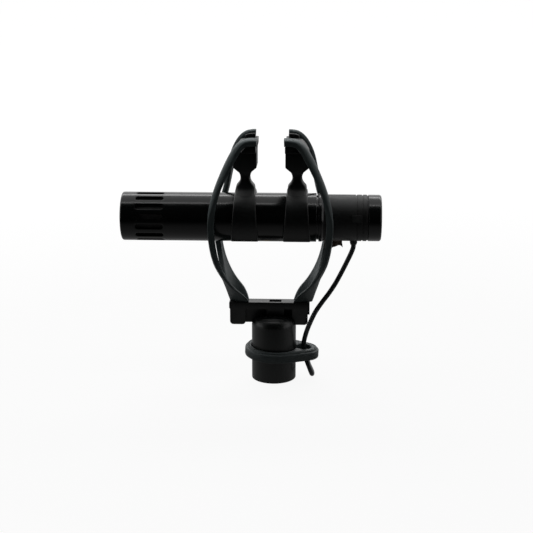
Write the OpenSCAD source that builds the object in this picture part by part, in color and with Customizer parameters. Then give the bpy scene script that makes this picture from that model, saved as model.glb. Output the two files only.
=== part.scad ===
// Small condenser microphone held by two lyre springs on a short stand stem.
// Frame: Z up, X along the microphone (front end at -X), origin at the middle
// of the stem's lower face. Millimetres.

/* [Microphone] */
// Overall length of the microphone
mic_length = 111.6; // [104:0.1:135]
// Distance from the stem axis to the front end of the microphone
front_reach = 65.6; // [60:0.1:72]
// Height of the microphone axis above the stem's lower face
mic_height = 73.1; // [71:0.1:75]
// Outer diameter of the front tube
tube_d = 21; // [17:0.5:22.5]
// Wall of the front tube
tube_wall = 1.2; // [0.8:0.1:1.6]
// Outer diameter of the rear sleeve and end cap
sleeve_d = 20; // [16.5:0.5:21]
// Wall of the rear sleeve
sleeve_wall = 1.25; // [0.8:0.05:1.6]
// Length of the rear section, from the joint groove to the end cap's face
rear_length = 27.7; // [25:0.1:36]
// Length of the end cap that shows
cap_length = 5.6; // [4:0.1:7]

/* [Front slots] */
// Number of slots round the front tube
slot_count = 15; // [9:1:18]
// Width of a slot
slot_w = 2.4; // [1.2:0.1:2.6]
// Length of a slot
slot_length = 12; // [8:0.5:16]
// Distance from the front end to the slots
slot_start = 6.5; // [4:0.5:9]

/* [Clips] */
// Distance between the middles of the two clips
clip_spacing = 22.2; // [21:0.1:24]
// Middle of the two clips and of the two lyres along X
mount_mid = -1.2; // [-2:0.1:-0.4]
// Thickness of a clip's wall
clip_wall = 1.9; // [1.4:0.1:2.2]
// Width of a clip at its top
clip_top_w = 8.2; // [6:0.1:10]
// Width of a clip at its open lower end
clip_foot_w = 12.2; // [9:0.1:13]
// How far below level a clip wraps, in degrees
clip_wrap = 45; // [30:1:60]
// Width of the block at the head of a hanger
block_w = 10.1; // [8:0.1:10.6]
// Width of the neck under the block
neck_w = 4.8; // [3:0.1:6]

/* [Lyres] */
// Thickness of a lyre's arm
lyre_t = 2.9; // [2:0.1:3.2]
// Lean of the rear arms towards the clips at half height
rear_lean = 3.1; // [0:0.1:3.5]

/* [Base] */
// Length of the base bar
bar_w = 34.8; // [33:0.1:38]
// Depth of the base bar
bar_d = 5.7; // [5.4:0.1:7]
// Height of the base bar's top face
bar_top = 35.3; // [34.5:0.1:36]
// Height of the ears' lower face
ear_bottom = 25; // [23:0.1:27]
// Length of an ear
ear_w = 6.9; // [5.5:0.1:8]
// Middle of the base bar along X
bar_mid = -2.2; // [-2.6:0.1:-1.6]

/* [Stem] */
// Outer diameter of the stem
stem_d = 19.5; // [18.5:0.1:21]
// Height of the stem's domed top
stem_top = 29; // [27.5:0.1:30]
// Minor radius of the 5/8 inch stand thread
socket_r = 7.45; // [7.3:0.05:7.6]
// Depth of the stand socket
socket_depth = 13.5; // [10:0.5:15]

/* [Cable ring] */
// Height of the cable ring's middle
ring_height = 12.6; // [11:0.1:15]
// Thickness of the cable ring along the stem
ring_h = 4.6; // [3:0.1:6]
// Wall of the cable ring
ring_wall = 2.75; // [2:0.05:3.5]
// Radius of the ring's cable lobe
lobe_r = 6.9; // [6:0.1:7.5]
// Tilt of the ring about Y
ring_tilt = 2.5; // [0:0.5:3]

/* [Lead] */
// Diameter of the lead
cord_d = 2.1; // [1.8:0.1:2.4]
// Diameter of the plug's sleeve
plug_d = 8; // [7:0.1:9]

/* [Hidden] */
$fn = 48;
fit_gap = 0.05;
free_gap = 0.3;
skin_gap = 0.1;

mic_front = -front_reach;
mic_back = mic_front + mic_length;
tube_r = tube_d / 2;
tube_bore = tube_r - tube_wall;
sleeve_r = sleeve_d / 2;
sleeve_bore = sleeve_r - sleeve_wall;
tube_back = mic_back - rear_length - fit_gap;
groove_w = 0.9;
collar_w = 2.1;
collar_front = tube_back + groove_w;
sleeve_front = collar_front + collar_w;
cap_front = mic_back - cap_length;
sleeve_len = cap_front - sleeve_front - 2 * fit_gap;
groove_places = [cap_front - 5, cap_front - 2.5, cap_front - 0.4];
index_size = [4.4, 3.2, 0.5];
index_x = cap_front - 4.9;
index_turn = 10;
gland_x = mic_back - 11.6;
gland_bottom = mic_height - sleeve_r - 1.9;
gland_r = 1.6;

// Stacking of the inner pieces behind the slots
lip_w = 1;
grille_t = 0.6;
mesh_t = 0.3;
mesh_len = slot_start + slot_length + 2 - lip_w - grille_t;
capsule_front = mic_front + slot_start + slot_length + 3;
capsule_len = 8;
capsule_r = tube_bore - fit_gap;
cup_bore = capsule_r - 1.5;
stack_r = cup_bore - fit_gap;
retainer_w = 3;
ring_at = 0.5;
ring_len = 1.5;
film_t = 0.15;
film_gap = 0.12;
plate_t = 1.4;
insulator_t = 2;
plate_x = capsule_front + ring_at + ring_len + film_t + film_gap;
insulator_x = plate_x + plate_t;
spigot_front = tube_back - 6;
board_front = capsule_front + capsule_len + retainer_w + 4;
board_len = spigot_front - 1 - board_front;
board_w = 2 * (tube_bore - 2.8);
board_t = 1.2;
holder_w = 3;
holder_front_x = board_front + 4;
holder_back_x = board_front + board_len - 8;

// Hangers
block_half = block_w / 2;
clip_bore = tube_r + fit_gap;
clip_r = clip_bore + clip_wall;
block_bottom = mic_height + 20.4;
block_depth = 6;
crossbar_depth = 14.4;
crossbar_w = 6.4;
crossbar_h = 3.2;
stop_w = 4.6;
stop_inner = 8.3;
stop_outer = 10.1;
stop_drop = 0.9;
pin_r = 0.75;
hook_height = mic_height + 36.2;
hook_end = clip_spacing / 2 - block_half - 0.4;
rear_hook_end = hook_end + 1.5;
hook_bottom = hook_height - lyre_t;
pin_half = hook_end + 3.5;
pin_side = 12.8;
pin_len = 3.8;
pin_height = hook_height - 1.1 - pin_len / 2;

// Base
ear_d = bar_d - 0.5;
flange_h = 3;
slot_in_bar = [5.3, 3.1, 2];
web_w = 7.7;
web_x = bar_mid + 2.85;
stem_r = stem_d / 2;
dome_r = 4.3;
bar_slot = bar_d + 2 * fit_gap;
screw_r = 1.5;
head_r = 2.9;
head_h = 2.2;
washer_t = 0.6;
screw_top = bar_top - slot_in_bar[2] - 1.5;
tenon = [5, 2.4, 5.8];
tenon_mid = 14.4;

// Cable ring
ring_bore = stem_r + free_gap;
ring_r = ring_bore + ring_wall;
lobe_x = ring_r + 0.2;
lobe_hole_r = lobe_r - 3.4;

// Route of the lead from the gland to the hank
cord_points = [
    [34.4, 0, 61.15], [34.4, 0, 60.4], [34.2, 0, 59.4], [33.3, 0, 57], [31.5, 0, 53],
    [29.3, -0.2, 48.4], [26.9, -0.8, 43.9], [24.1, -1.6, 39.6], [20.9, -2.6, 35.4],
    [18.2, -3.5, 31.4], [16.2, -4, 27.2], [14.7, -3.7, 23.2], [13.7, -2.4, 19.2],
    [13.2, -1, 15.8], [13.4, -0.6, 12.4], [14.4, -1.8, 9], [15.7, -3, 5.8],
    [16.7, -2.6, 3], [17.1, 0.2, 1.3], [17, 4, 1.1], [16.2, 9, 1.1], [15.4, 14, 1.1],
    [14.8, 20, 1.1], [14.3, 26, 1.1], [13.4, 32, 1.1], [11, 38, 1.1], [8.1, 43.4, 1.1],
    [6.6, 48, 1.1], [6.4, 52, 1.1]
];
cord_steps = 2;
cord_sides = 8;

// Hank behind the stem, its tie and the plug on top
hank_front = 19;
hank_len = 42;
hank_end_r = 7.35;
hank_waist = 6.6;
hank_h = 4.2;
hank_mid = hank_front + hank_len / 2;
tie_t = 0.6;
tie_w = 6;
plug_x = -2.6;
plug_z = hank_h + tie_t + plug_d / 2;
plug_back = hank_front + 4;
plug_relief = 6;
plug_sleeve_len = 19;
plug_pin_len = 14;
pin_d = 3.5;

// Stations of a lyre's outer face, from foot to hook: half distance from the
// lyres' middle, height, inner and outer half depth, fall towards the outer
// edge, sweep angle of the curved section, share of the full thickness
lyre_stations = [
    [18.2, 35.3, -0.4, 2.4, 8.4, 90, 0.52],
    [18.9, 37.4, -0.4, 4.6, 8.2, 86, 0.55],
    [19.7, 40, -0.4, 7.2, 7.2, 80, 0.58],
    [20.7, 43, -0.4, 9.4, 5.2, 74, 0.62],
    [21.8, 46.4, 0, 11.3, 3.5, 66, 0.69],
    [23.2, 50.4, 5, 13, 2.2, 50, 0.76],
    [24.6, 55, 9.6, 14.4, 1.3, 30, 0.83],
    [25.8, 61, 12.2, 15.5, 0.8, 12, 0.9],
    [26.5, 68, 13.1, 16.3, 0.4, 12, 0.97],
    [26.5, 75, 13.1, 16.4, 0.4, 12, 0.94],
    [25.4, 82.05, 13, 16.4, 0.6, 12, 0.88],
    [23.2, 89.2, 12.8, 16.3, 0.9, 12, 0.8],
    [20.4, 96, 12.5, 16.2, 1.2, 12, 0.82],
    [17.6, 101.8, 12, 16, 1.2, 12, 0.9],
    [14.8, 106.2, 11.3, 15.8, 0.8, 12, 0.97],
    [11.8, 108.6, 10.8, 15.6, 0.5, 12, 0.97],
    [8.6, 109.3, 10.6, 15.5, 0.4, 12, 0.97],
    [5.65, 109.3, 10.5, 15.5, 0.4, 12, 0.97]
];
// The foot, hook end, hook height and clip radius that the stations are drawn for
drawn_foot = 35.3;
drawn_hook = 109.3;
drawn_end = 5.65;
drawn_clip_r = 12.45;

station_steps = 2;
band_points = 5;

// ---- helpers -------------------------------------------------------------

function unit(v) = v / norm(v);
function clamp01(x) = min(1, max(0, x));

// Catmull-Rom value between p1 and p2
function blend_value(p0, p1, p2, p3, t) =
    0.5 * (2 * p1 + (p2 - p0) * t + (2 * p0 - 5 * p1 + 4 * p2 - p3) * t * t
    + (3 * p1 - p0 - 3 * p2 + p3) * t * t * t);

// A smooth run of values through a list, with the given steps in each gap
function smooth_run(list, steps) = let (last = len(list) - 1) [
    for (i = [0 : last - 1], k = [0 : steps - 1])
        blend_value(list[max(0, i - 1)], list[i], list[i + 1], list[min(last, i + 2)], k / steps),
    list[last]
];

// Puts a shape that is built along +Z onto the microphone axis at x
module on_axis(x) {
    translate([x, 0, mic_height]) rotate([0, 90, 0]) children();
}

module tube_shape(outer, inner, length) {
    difference() {
        cylinder(r = outer, h = length);
        translate([0, 0, -1]) cylinder(r = inner, h = length + 2);
    }
}

// Turned body from a list of [radius, position] points
module turned(points) {
    rotate_extrude() polygon(points);
}

// ---- microphone ----------------------------------------------------------

// One round-ended slot, cut outwards from the axis
module slot_cutter() {
    reach = slot_length / 2 - slot_w / 2;
    rotate([0, 90, 0]) linear_extrude(tube_r + 2) union() {
        for (s = [-1, 1]) translate([s * reach, 0]) circle(d = slot_w, $fn = 24);
        square([2 * reach, slot_w], center = true);
    }
}

module front_tube() {
    length = tube_back - mic_front;
    rim = 0.8;
    slot_phase = 11;
    color([0.03, 0.035, 0.035]) on_axis(mic_front) difference() {
        turned([[tube_bore - 0.7, 0], [tube_r - rim, 0], [tube_r - rim * 0.3, rim * 0.3],
            [tube_r, rim], [tube_r, length - 0.2], [tube_r - 0.2, length], [tube_bore, length],
            [tube_bore, lip_w], [tube_bore - 0.7, lip_w]]);
        for (i = [0 : slot_count - 1])
            translate([0, 0, slot_start + slot_length / 2])
                rotate([0, 0, -90 - slot_phase + i * 360 / slot_count]) slot_cutter();
    }
}

module front_grille() {
    hole_r = 0.65;
    pitch = 2.45;
    color([0.12, 0.12, 0.12]) on_axis(mic_front + lip_w) difference() {
        cylinder(r = tube_bore - fit_gap, h = grille_t);
        translate([0, 0, -1]) cylinder(r = hole_r, h = 3, $fn = 16);
        for (ring = [1 : 3], i = [0 : 6 * ring - 1])
            rotate([0, 0, i * 60 / ring]) translate([pitch * ring, 0, -1])
                cylinder(r = hole_r, h = 3, $fn = 16);
    }
}

module slot_mesh() {
    color([0.2, 0.2, 0.2]) on_axis(mic_front + lip_w + grille_t)
        tube_shape(tube_bore - fit_gap, tube_bore - fit_gap - mesh_t, mesh_len);
}

module capsule_housing() {
    wall_t = 1;
    port_r = 0.8;
    port_ring = stack_r * 0.6;
    color([0.7, 0.6, 0.35]) on_axis(capsule_front) difference() {
        cylinder(r = capsule_r, h = capsule_len);
        translate([0, 0, -1]) cylinder(r = cup_bore, h = capsule_len - wall_t + 1);
        for (i = [0 : 5]) rotate([0, 0, i * 60]) translate([port_ring, 0, 0])
            cylinder(r = port_r, h = capsule_len + 1, $fn = 16);
        cylinder(r = 1.3, h = capsule_len + 1, $fn = 24);
    }
}

module diaphragm_ring() {
    color([0.85, 0.7, 0.3]) on_axis(capsule_front + ring_at)
        tube_shape(stack_r, stack_r - 1.2, ring_len);
}

module diaphragm() {
    color([0.9, 0.75, 0.35]) on_axis(capsule_front + ring_at + ring_len)
        cylinder(r = stack_r, h = film_t);
}

module backplate() {
    color([0.75, 0.65, 0.4]) on_axis(plate_x)
        difference() {
            cylinder(r = stack_r, h = plate_t);
            for (i = [0 : 7]) rotate([0, 0, i * 45]) translate([stack_r * 0.55, 0, -1])
                cylinder(r = 0.6, h = plate_t + 2, $fn = 16);
        }
}

module capsule_insulator() {
    color([0.9, 0.9, 0.85]) on_axis(insulator_x)
        tube_shape(stack_r, 0.8 + fit_gap, insulator_t);
}

module capsule_contact() {
    length = capsule_front + capsule_len + 2 - insulator_x;
    color([0.85, 0.7, 0.3]) on_axis(insulator_x) cylinder(r = 0.8, h = length);
}

module capsule_retainer() {
    color([0.5, 0.5, 0.5]) on_axis(capsule_front + capsule_len)
        tube_shape(capsule_r, cup_bore - 1, retainer_w);
}

module circuit_board() {
    color([0.1, 0.35, 0.2]) translate([board_front, -board_w / 2, mic_height - board_t / 2])
        cube([board_len, board_w, board_t]);
}

module board_components() {
    top = mic_height + board_t / 2;
    under = mic_height - board_t / 2;
    start = holder_front_x + holder_w;
    drawn_room = 25.35;
    k = (holder_back_x - start) / drawn_room;
    color([0.15, 0.15, 0.15]) {
        for (i = [0 : 1]) translate([start + (6 + 7 * i) * k, 0, top]) cylinder(r = 2.5, h = 4.6);
        for (i = [0 : 2]) translate([start + (2 + 4 * i) * k, -4.8, top]) cube([2 * k, 1.2, 0.6]);
        translate([start + 18 * k, -3, top]) cube([6 * k, 5, 1.8]);
        for (i = [0 : 3]) translate([start + (3 + 5 * i) * k, 1, under - 0.7]) cube([3 * k, 1.6, 0.7]);
    }
}

// Two discs that carry the board in the tube
module board_holders() {
    color([0.85, 0.85, 0.8]) for (x = [holder_front_x, holder_back_x]) difference() {
        on_axis(x) cylinder(r = capsule_r, h = holder_w);
        translate([x - 1, -board_w / 2 - skin_gap, mic_height - board_t / 2 - skin_gap])
            cube([holder_w + 2, board_w + 2 * skin_gap, board_t + 2 * skin_gap]);
    }
}

module coupling_ring() {
    front_len = tube_back - spigot_front;
    back_len = 5;
    bore_r = sleeve_bore - 1.6;
    front_r = tube_bore - fit_gap;
    back_r = sleeve_bore - fit_gap;
    groove_r = tube_r - 0.9;
    bevel = 0.8;
    a = front_len;
    b = front_len + groove_w;
    c = b + collar_w;
    color([0.1, 0.1, 0.1]) on_axis(spigot_front)
        turned([[bore_r, 0], [front_r, 0], [front_r, a + fit_gap], [groove_r, a + fit_gap],
            [groove_r, b], [tube_r - 0.35, b], [tube_r - 0.1, b + 0.3],
            [tube_r - 0.1, c - bevel], [sleeve_r - 0.1, c], [back_r, c],
            [back_r, c + back_len], [bore_r, c + back_len]]);
}

// Block of the index plate's outline, from depth y0 to y1 under the sleeve's skin
module index_block(extra, y0, y1) {
    size = [index_size[0] + 2 * extra, y1 - y0, index_size[1] + 2 * extra];
    translate([index_x - size[0] / 2, 0, mic_height]) rotate([-index_turn, 0, 0])
        translate([0, -sleeve_r + y0, -size[2] / 2]) cube(size);
}

module rear_sleeve() {
    groove_d = 0.35;
    groove_h = 0.5;
    color([0.16, 0.165, 0.165]) difference() {
        on_axis(sleeve_front + fit_gap) tube_shape(sleeve_r, sleeve_bore, sleeve_len);
        for (x = groove_places) on_axis(x) difference() {
            translate([0, 0, -groove_h / 2]) cylinder(r = sleeve_r + 1, h = groove_h);
            translate([0, 0, -1]) cylinder(r = sleeve_r - groove_d, h = 2);
        }
        index_block(skin_gap, -1, index_size[2] + 0.1);
        translate([gland_x, 0, mic_height - sleeve_r - 1])
            cylinder(r = gland_r + fit_gap, h = sleeve_wall + 2);
    }
}

module index_plate() {
    color([0.2, 0.205, 0.205]) index_block(0, 0.25, index_size[2] + 0.05);
}

module end_cap() {
    spigot_len = 3;
    spigot_r = sleeve_bore - 0.08;
    rim = 1;
    color([0.03, 0.035, 0.035]) on_axis(cap_front)
        turned([[0, -spigot_len], [spigot_r - 0.4, -spigot_len], [spigot_r, -spigot_len + 0.4],
            [spigot_r, -0.6], [spigot_r - 0.6, -0.6], [spigot_r - 0.6, 0.001], [sleeve_r - 0.2, 0.001],
            [sleeve_r, 0.2], [sleeve_r, cap_length - rim],
            [sleeve_r - rim * 0.13, cap_length - rim * 0.5],
            [sleeve_r - rim * 0.5, cap_length - rim * 0.13],
            [sleeve_r - rim, cap_length], [sleeve_r - 2.6, cap_length], [sleeve_r - 3, cap_length - 0.4],
            [0, cap_length - 0.4]]);
}

// Soft ring in the cap's groove
module cap_seal() {
    color([0.05, 0.05, 0.05]) on_axis(cap_front - 0.55)
        tube_shape(sleeve_bore - 0.08, sleeve_bore - 0.6, 0.45);
}

// Bush that carries the lead out of the sleeve
module cable_gland() {
    inner_top = mic_height - sleeve_bore + 1.2;
    color([0.06, 0.06, 0.06]) translate([gland_x, 0, gland_bottom])
        turned([[0, 0], [gland_r - 0.3, 0], [gland_r, 0.8], [gland_r, inner_top - gland_bottom],
            [0, inner_top - gland_bottom]]);
}

// Tag of brown tape stuck under the sleeve, its end hanging free
module marker_tab() {
    tab_t = 0.45;
    tab_w = 7;
    drop = 2.9;
    tab_r = sleeve_r + fit_gap;
    x = sleeve_front + 1.6;
    color([0.35, 0.2, 0.12]) union() {
        intersection() {
            on_axis(x) tube_shape(tab_r + tab_t, tab_r, tab_w);
            translate([x, -4.5, mic_height - sleeve_r - 2]) cube([tab_w, 9, 4]);
        }
        translate([x, -tab_t / 2, mic_height - tab_r - tab_t - drop])
            cube([tab_w, tab_t, drop + 0.2]);
    }
}

// ---- hangers -------------------------------------------------------------

// A station fitted to the bar, clips and hooks of this build
function fitted(s) = let (
    rise = (s[1] - drawn_foot) / (drawn_hook - drawn_foot),
    out = (hook_end - drawn_end) * rise,
    swell = (clip_r - drawn_clip_r) * clamp01(3 * rise - 0.3) * clamp01(6 - 6 * rise)
) [s[0] + out, bar_top + rise * (hook_height - bar_top), s[2] + swell, s[3] + swell, s[4], s[5], s[6]];

// Lyre stations as one smooth run
run = smooth_run([for (s = lyre_stations) fitted(s)], station_steps);
run_last = len(run) - 1;

// The same run for the rear arms, which lean in between their foot and hook
lean_bottom = mic_height - 11;
lean_top = hook_height - 5.3;
function leaned(s) = let (u = clamp01((s[1] - lean_bottom) / (lean_top - lean_bottom)))
    [s[0] - rear_lean * pow(sin(180 * u), 2), each [for (k = [1 : 6]) s[k]]];
rear_run = [for (s = run) leaned(s)];

// Direction that points in from the lyre's outer face, level near the foot
function slope(line, i) = let (a = line[max(0, i - 1)], b = line[min(run_last, i + 1)])
    unit([b[0] - a[0], b[1] - a[1]]);
function inward(line, i) = let (s = slope(line, i), k = clamp01((line[i][1] - bar_top - 25) / 15))
    unit([-(1 - k) - k * s[1], k * s[0]]);
function run_t(i) = run[i][6] * lyre_t;

// Line a little inside the hook's outer face, and the line just under the hook
hook_from = run_last - 4 * station_steps;
hook_skin = [for (i = [hook_from : run_last]) [run[i][0], run[i][1]] + inward(run, i) * 1.2];
hook_under = [for (i = [hook_from : run_last])
    [run[i][0], run[i][1]] + inward(run, i) * (run_t(i) + run[i][4] + skin_gap)];

// Area below a line of the hook, down to a foot
module below(line, foot) {
    last = line[len(line) - 1];
    polygon(concat([[line[0][0], foot]], line, [[0, last[1]], [0, foot]]));
}

// Outline of the block between the arms, as half distance and height
module block_outline(out_half, in_half) {
    foot = block_bottom;
    bevel_h = 2.2;
    foot_in = block_half - neck_w / 2;
    top = hook_bottom - skin_gap;
    intersection() {
        below(hook_skin, foot);
        polygon([[in_half, foot + bevel_h], [in_half + foot_in, foot], [out_half - foot_in, foot],
            [out_half, foot + bevel_h], [out_half, top], [in_half, top]]);
    }
}

// Outline of the crossbar that the hooks sit on
module crossbar_outline(in_half) {
    foot = hook_bottom - crossbar_h;
    intersection() {
        below(hook_under, foot);
        translate([in_half, foot]) square([crossbar_w, 2 * crossbar_h]);
    }
}

// Outline of the stops that keep the hooks apart, from the end of the rear hook
module stop_outline() {
    foot = hook_bottom - 1;
    intersection() {
        below(hook_skin, foot);
        translate([rear_hook_end, foot]) square([stop_w, hook_height - stop_drop - foot]);
    }
}

// Hanger on the side of the sign: crossbar, block and neck over the open clip
module hanger(side) {
    x = mount_mid + side * clip_spacing / 2;
    half = clip_spacing / 2;
    out_half = half + block_half;
    in_half = half - block_half;
    shoulder = mic_height + clip_r + 2.4;
    color([0.05, 0.05, 0.05]) union() {
        // block and crossbar
        translate([mount_mid, 0, 0]) mirror([side < 0 ? 1 : 0, 0, 0]) {
            translate([0, block_depth, 0]) rotate([90, 0, 0])
                linear_extrude(2 * block_depth) block_outline(out_half, in_half);
            difference() {
                translate([0, crossbar_depth, 0]) rotate([90, 0, 0])
                    linear_extrude(2 * crossbar_depth) crossbar_outline(in_half);
                pins(pin_len + 2 * skin_gap, fit_gap);
            }
            for (flip = [0, 1]) mirror([0, flip, 0]) translate([0, stop_outer, 0])
                rotate([90, 0, 0]) linear_extrude(stop_outer - stop_inner) stop_outline();
        }
        // neck
        translate([x, 3.5, 0]) rotate([90, 0, 0]) linear_extrude(7)
            polygon([[-clip_top_w / 2, shoulder - 4], [clip_top_w / 2, shoulder - 4],
                [clip_top_w / 2, shoulder - 0.8], [neck_w / 2 + 1, shoulder],
                [neck_w / 2, shoulder + 1.2], [neck_w / 2, block_bottom + 0.5],
                [-neck_w / 2, block_bottom + 0.5], [-neck_w / 2, shoulder + 1.2],
                [-neck_w / 2 - 1, shoulder], [-clip_top_w / 2, shoulder - 0.8]]);
    }
}

module clip_body(side) {
    x = mount_mid + side * clip_spacing / 2;
    reach = clip_r + 4;
    mouth = [reach * 1.4 * sin(clip_wrap), reach * 1.4 * cos(clip_wrap)];
    color([0.05, 0.05, 0.05]) difference() {
        union() {
            hanger(side);
            intersection() {
                on_axis(x - 10) cylinder(r = clip_r, h = 20);
                translate([x, reach, mic_height]) rotate([90, 0, 0]) linear_extrude(2 * reach)
                    polygon([[-clip_top_w / 2, reach], [-clip_foot_w / 2, -clip_r],
                        [clip_foot_w / 2, -clip_r], [clip_top_w / 2, reach]]);
            }
        }
        on_axis(x - 12) cylinder(r = clip_bore, h = 24);
        on_axis(x - 12) linear_extrude(24) polygon([[0, 0], mouth, [mouth[0], -mouth[1]]]);
    }
}

module clip_left() {
    clip_body(-1);
}

module clip_right() {
    clip_body(1);
}

// The pins of one hanger, or the holes they sit in
module pins(length, extra) {
    for (y = [-pin_side, pin_side]) translate([pin_half, y, pin_height])
        cylinder(r = pin_r + extra, h = length, center = true, $fn = 24);
}

// Two pins in each hanger, held in blind holes in its block and the hooks above
module hanger_pins() {
    color([0.6, 0.6, 0.6]) for (side = [-1, 1])
        translate([mount_mid, 0, 0]) mirror([side < 0 ? 1 : 0, 0, 0]) pins(pin_len, 0);
}

// ---- lyres ---------------------------------------------------------------

// Point on an arm: station i of its line, place j across the band, depth in from its face
function arm_point(line, i, j, depth) = let (
    s = line[i],
    angle = s[5] * j / (band_points - 1),
    span = s[3] - s[2],
    run_in = s[4] * (1 - cos(angle)) / (1 - cos(s[5])),
    across = s[2] + span * sin(angle) / sin(s[5]) - depth * sin(angle),
    dir = inward(line, i),
    fall = run_in + depth * cos(angle)
) [s[0] + dir[0] * fall, across, s[1] + dir[1] * fall];

function arm_ring(line, i) = concat(
    [for (j = [0 : band_points - 1]) arm_point(line, i, j, 0)],
    [for (j = [band_points - 1 : -1 : 0]) arm_point(line, i, j, run_t(i))]
);

module lyre_arm(line) {
    count = 2 * band_points;
    points = [for (i = [0 : run_last]) each arm_ring(line, i)];
    sides = [for (i = [0 : run_last - 1], j = [0 : count - 1])
        [i * count + j, (i + 1) * count + j,
        (i + 1) * count + (j + 1) % count, i * count + (j + 1) % count]];
    end_faces = [for (j = [0 : band_points - 2]) each [
        [j, j + 1, count - 2 - j, count - 1 - j],
        [run_last * count + count - 1 - j, run_last * count + count - 2 - j,
        run_last * count + j + 1, run_last * count + j]]];
    polyhedron(points = points, faces = concat(sides, end_faces), convexity = 6);
}

// A lyre: front and rear arms on one foot, with a tenon into the base bar
module lyre(side) {
    color([0.26, 0.31, 0.32]) translate([mount_mid, 0, 0]) mirror([side < 0 ? 1 : 0, 0, 0]) union() {
        difference() {
            union() {
                mirror([0, 1, 0]) lyre_arm(run);
                difference() {
                    lyre_arm(rear_run);
                    translate([0, 5, hook_bottom - 5]) cube([rear_hook_end, 15, 2 * lyre_t + 5]);
                }
            }
            pins(pin_len + 2 * skin_gap, fit_gap);
        }
        translate([tenon_mid - tenon[0] / 2, -tenon[1] / 2, bar_top - tenon[2]])
            cube([tenon[0], tenon[1], tenon[2] + 1.2]);
    }
}

module lyre_left() {
    lyre(-1);
}

module lyre_right() {
    lyre(1);
}

// ---- base ----------------------------------------------------------------

module base_bar() {
    left = bar_mid - bar_w / 2;
    right = bar_mid + bar_w / 2;
    back_wall = 1.5;
    flange_bottom = bar_top - flange_h;
    color([0.05, 0.05, 0.05]) difference() {
        union() {
            translate([left, -bar_d / 2, flange_bottom]) cube([bar_w, bar_d, flange_h]);
            for (x = [left + 0.3, right - 0.3 - ear_w])
                translate([x, -ear_d / 2, ear_bottom])
                    cube([ear_w, ear_d, flange_bottom - ear_bottom + 1]);
            translate([left + 2, ear_d / 2 - back_wall, ear_bottom])
                cube([bar_w - 4, back_wall, flange_bottom - ear_bottom + 1]);
            translate([web_x - web_w / 2, -ear_d / 2, ear_bottom])
                cube([web_w, ear_d, flange_bottom - ear_bottom + 1]);
        }
        translate([web_x - slot_in_bar[0] / 2, -slot_in_bar[1] / 2, bar_top - slot_in_bar[2]])
            cube([slot_in_bar[0], slot_in_bar[1], slot_in_bar[2] + 1]);
        for (side = [-1, 1])
            translate([mount_mid + side * tenon_mid, 0, bar_top - tenon[2] / 2 + 0.5])
                cube([tenon[0] + 2 * fit_gap, tenon[1] + 2 * fit_gap, tenon[2] + 1 + skin_gap],
                    center = true);
        translate([0, 0, ear_bottom - 1])
            cylinder(r = screw_r + fit_gap, h = screw_top - ear_bottom + 1 + skin_gap);
    }
}

// Stand stem: domed top with a slot for the bar, threaded socket below
module stem() {
    dome = [for (a = [0 : 15 : 90])
        [stem_r - dome_r + dome_r * cos(a), stem_top - dome_r + dome_r * sin(a)]];
    recess_top = socket_depth + head_h + washer_t + 0.2;
    color([0.06, 0.06, 0.06]) difference() {
        turned(concat([[0, 0], [stem_r - 0.3, 0], [stem_r, 0.3]], dome, [[0, stem_top]]));
        translate([0, 0, -1]) cylinder(r = socket_r, h = socket_depth + 1);
        translate([0, 0, socket_depth - 1])
            cylinder(r = head_r + skin_gap, h = recess_top - socket_depth + 1);
        translate([0, 0, socket_depth]) cylinder(r = screw_r + skin_gap, h = 20);
        translate([-20, -bar_slot / 2, ear_bottom]) cube([40, bar_slot, 20]);
    }
}

module bar_screw() {
    seat = socket_depth + head_h + 0.2;
    color([0.45, 0.45, 0.45]) difference() {
        union() {
            translate([0, 0, seat - head_h]) cylinder(r = head_r, h = head_h);
            translate([0, 0, seat]) cylinder(r = screw_r, h = screw_top - seat);
        }
        translate([0, 0, seat - head_h - 1]) cylinder(r = 1.3, h = 2.2, $fn = 6);
    }
}

module screw_washer() {
    color([0.6, 0.6, 0.6]) translate([0, 0, socket_depth + head_h + 0.2])
        tube_shape(head_r - 0.1, screw_r + skin_gap, washer_t);
}

// Outline of the ring: the stem's circle and the lobe joined by tangents
module ring_outline(main_r, lobe) {
    lean = asin((main_r - lobe) / lobe_x);
    union() {
        circle(r = main_r);
        translate([lobe_x, 0]) circle(r = lobe);
        polygon([for (s = [1, -1], p = [[0, main_r], [lobe_x, lobe]])
            let (q = s > 0 ? p : [lobe_x - p[0], main_r + lobe - p[1]])
            [q[0] + q[1] * sin(lean), s * q[1] * cos(lean)]]);
    }
}

// Rubber ring that keeps the lead against the stem
module cable_ring() {
    step_h = 0.7;
    step_in = 0.8;
    color([0.26, 0.31, 0.32]) translate([0, 0, ring_height]) rotate([0, ring_tilt, 0]) difference() {
        union() {
            translate([0, 0, -ring_h / 2]) linear_extrude(ring_h - step_h) ring_outline(ring_r, lobe_r);
            translate([0, 0, ring_h / 2 - step_h - 0.01]) linear_extrude(step_h)
                ring_outline(ring_r - step_in, lobe_r - step_in);
        }
        translate([0, 0, -ring_h]) cylinder(r = ring_bore, h = 2 * ring_h);
        translate([lobe_x, 0, -ring_h]) cylinder(r = lobe_hole_r, h = 2 * ring_h);
    }
}

// ---- lead ----------------------------------------------------------------

cord_run = smooth_run(cord_points, cord_steps);
cord_last = len(cord_run) - 1;
function cord_tangent(i) = unit(cord_run[min(cord_last, i + 1)] - cord_run[max(0, i - 1)]);
function square_to(v, t) = unit(v - t * (v * t));
function side_vectors(i, side) = let (here = square_to(side, cord_tangent(i)))
    i == cord_last ? [here] : concat([here], side_vectors(i + 1, here));

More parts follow.
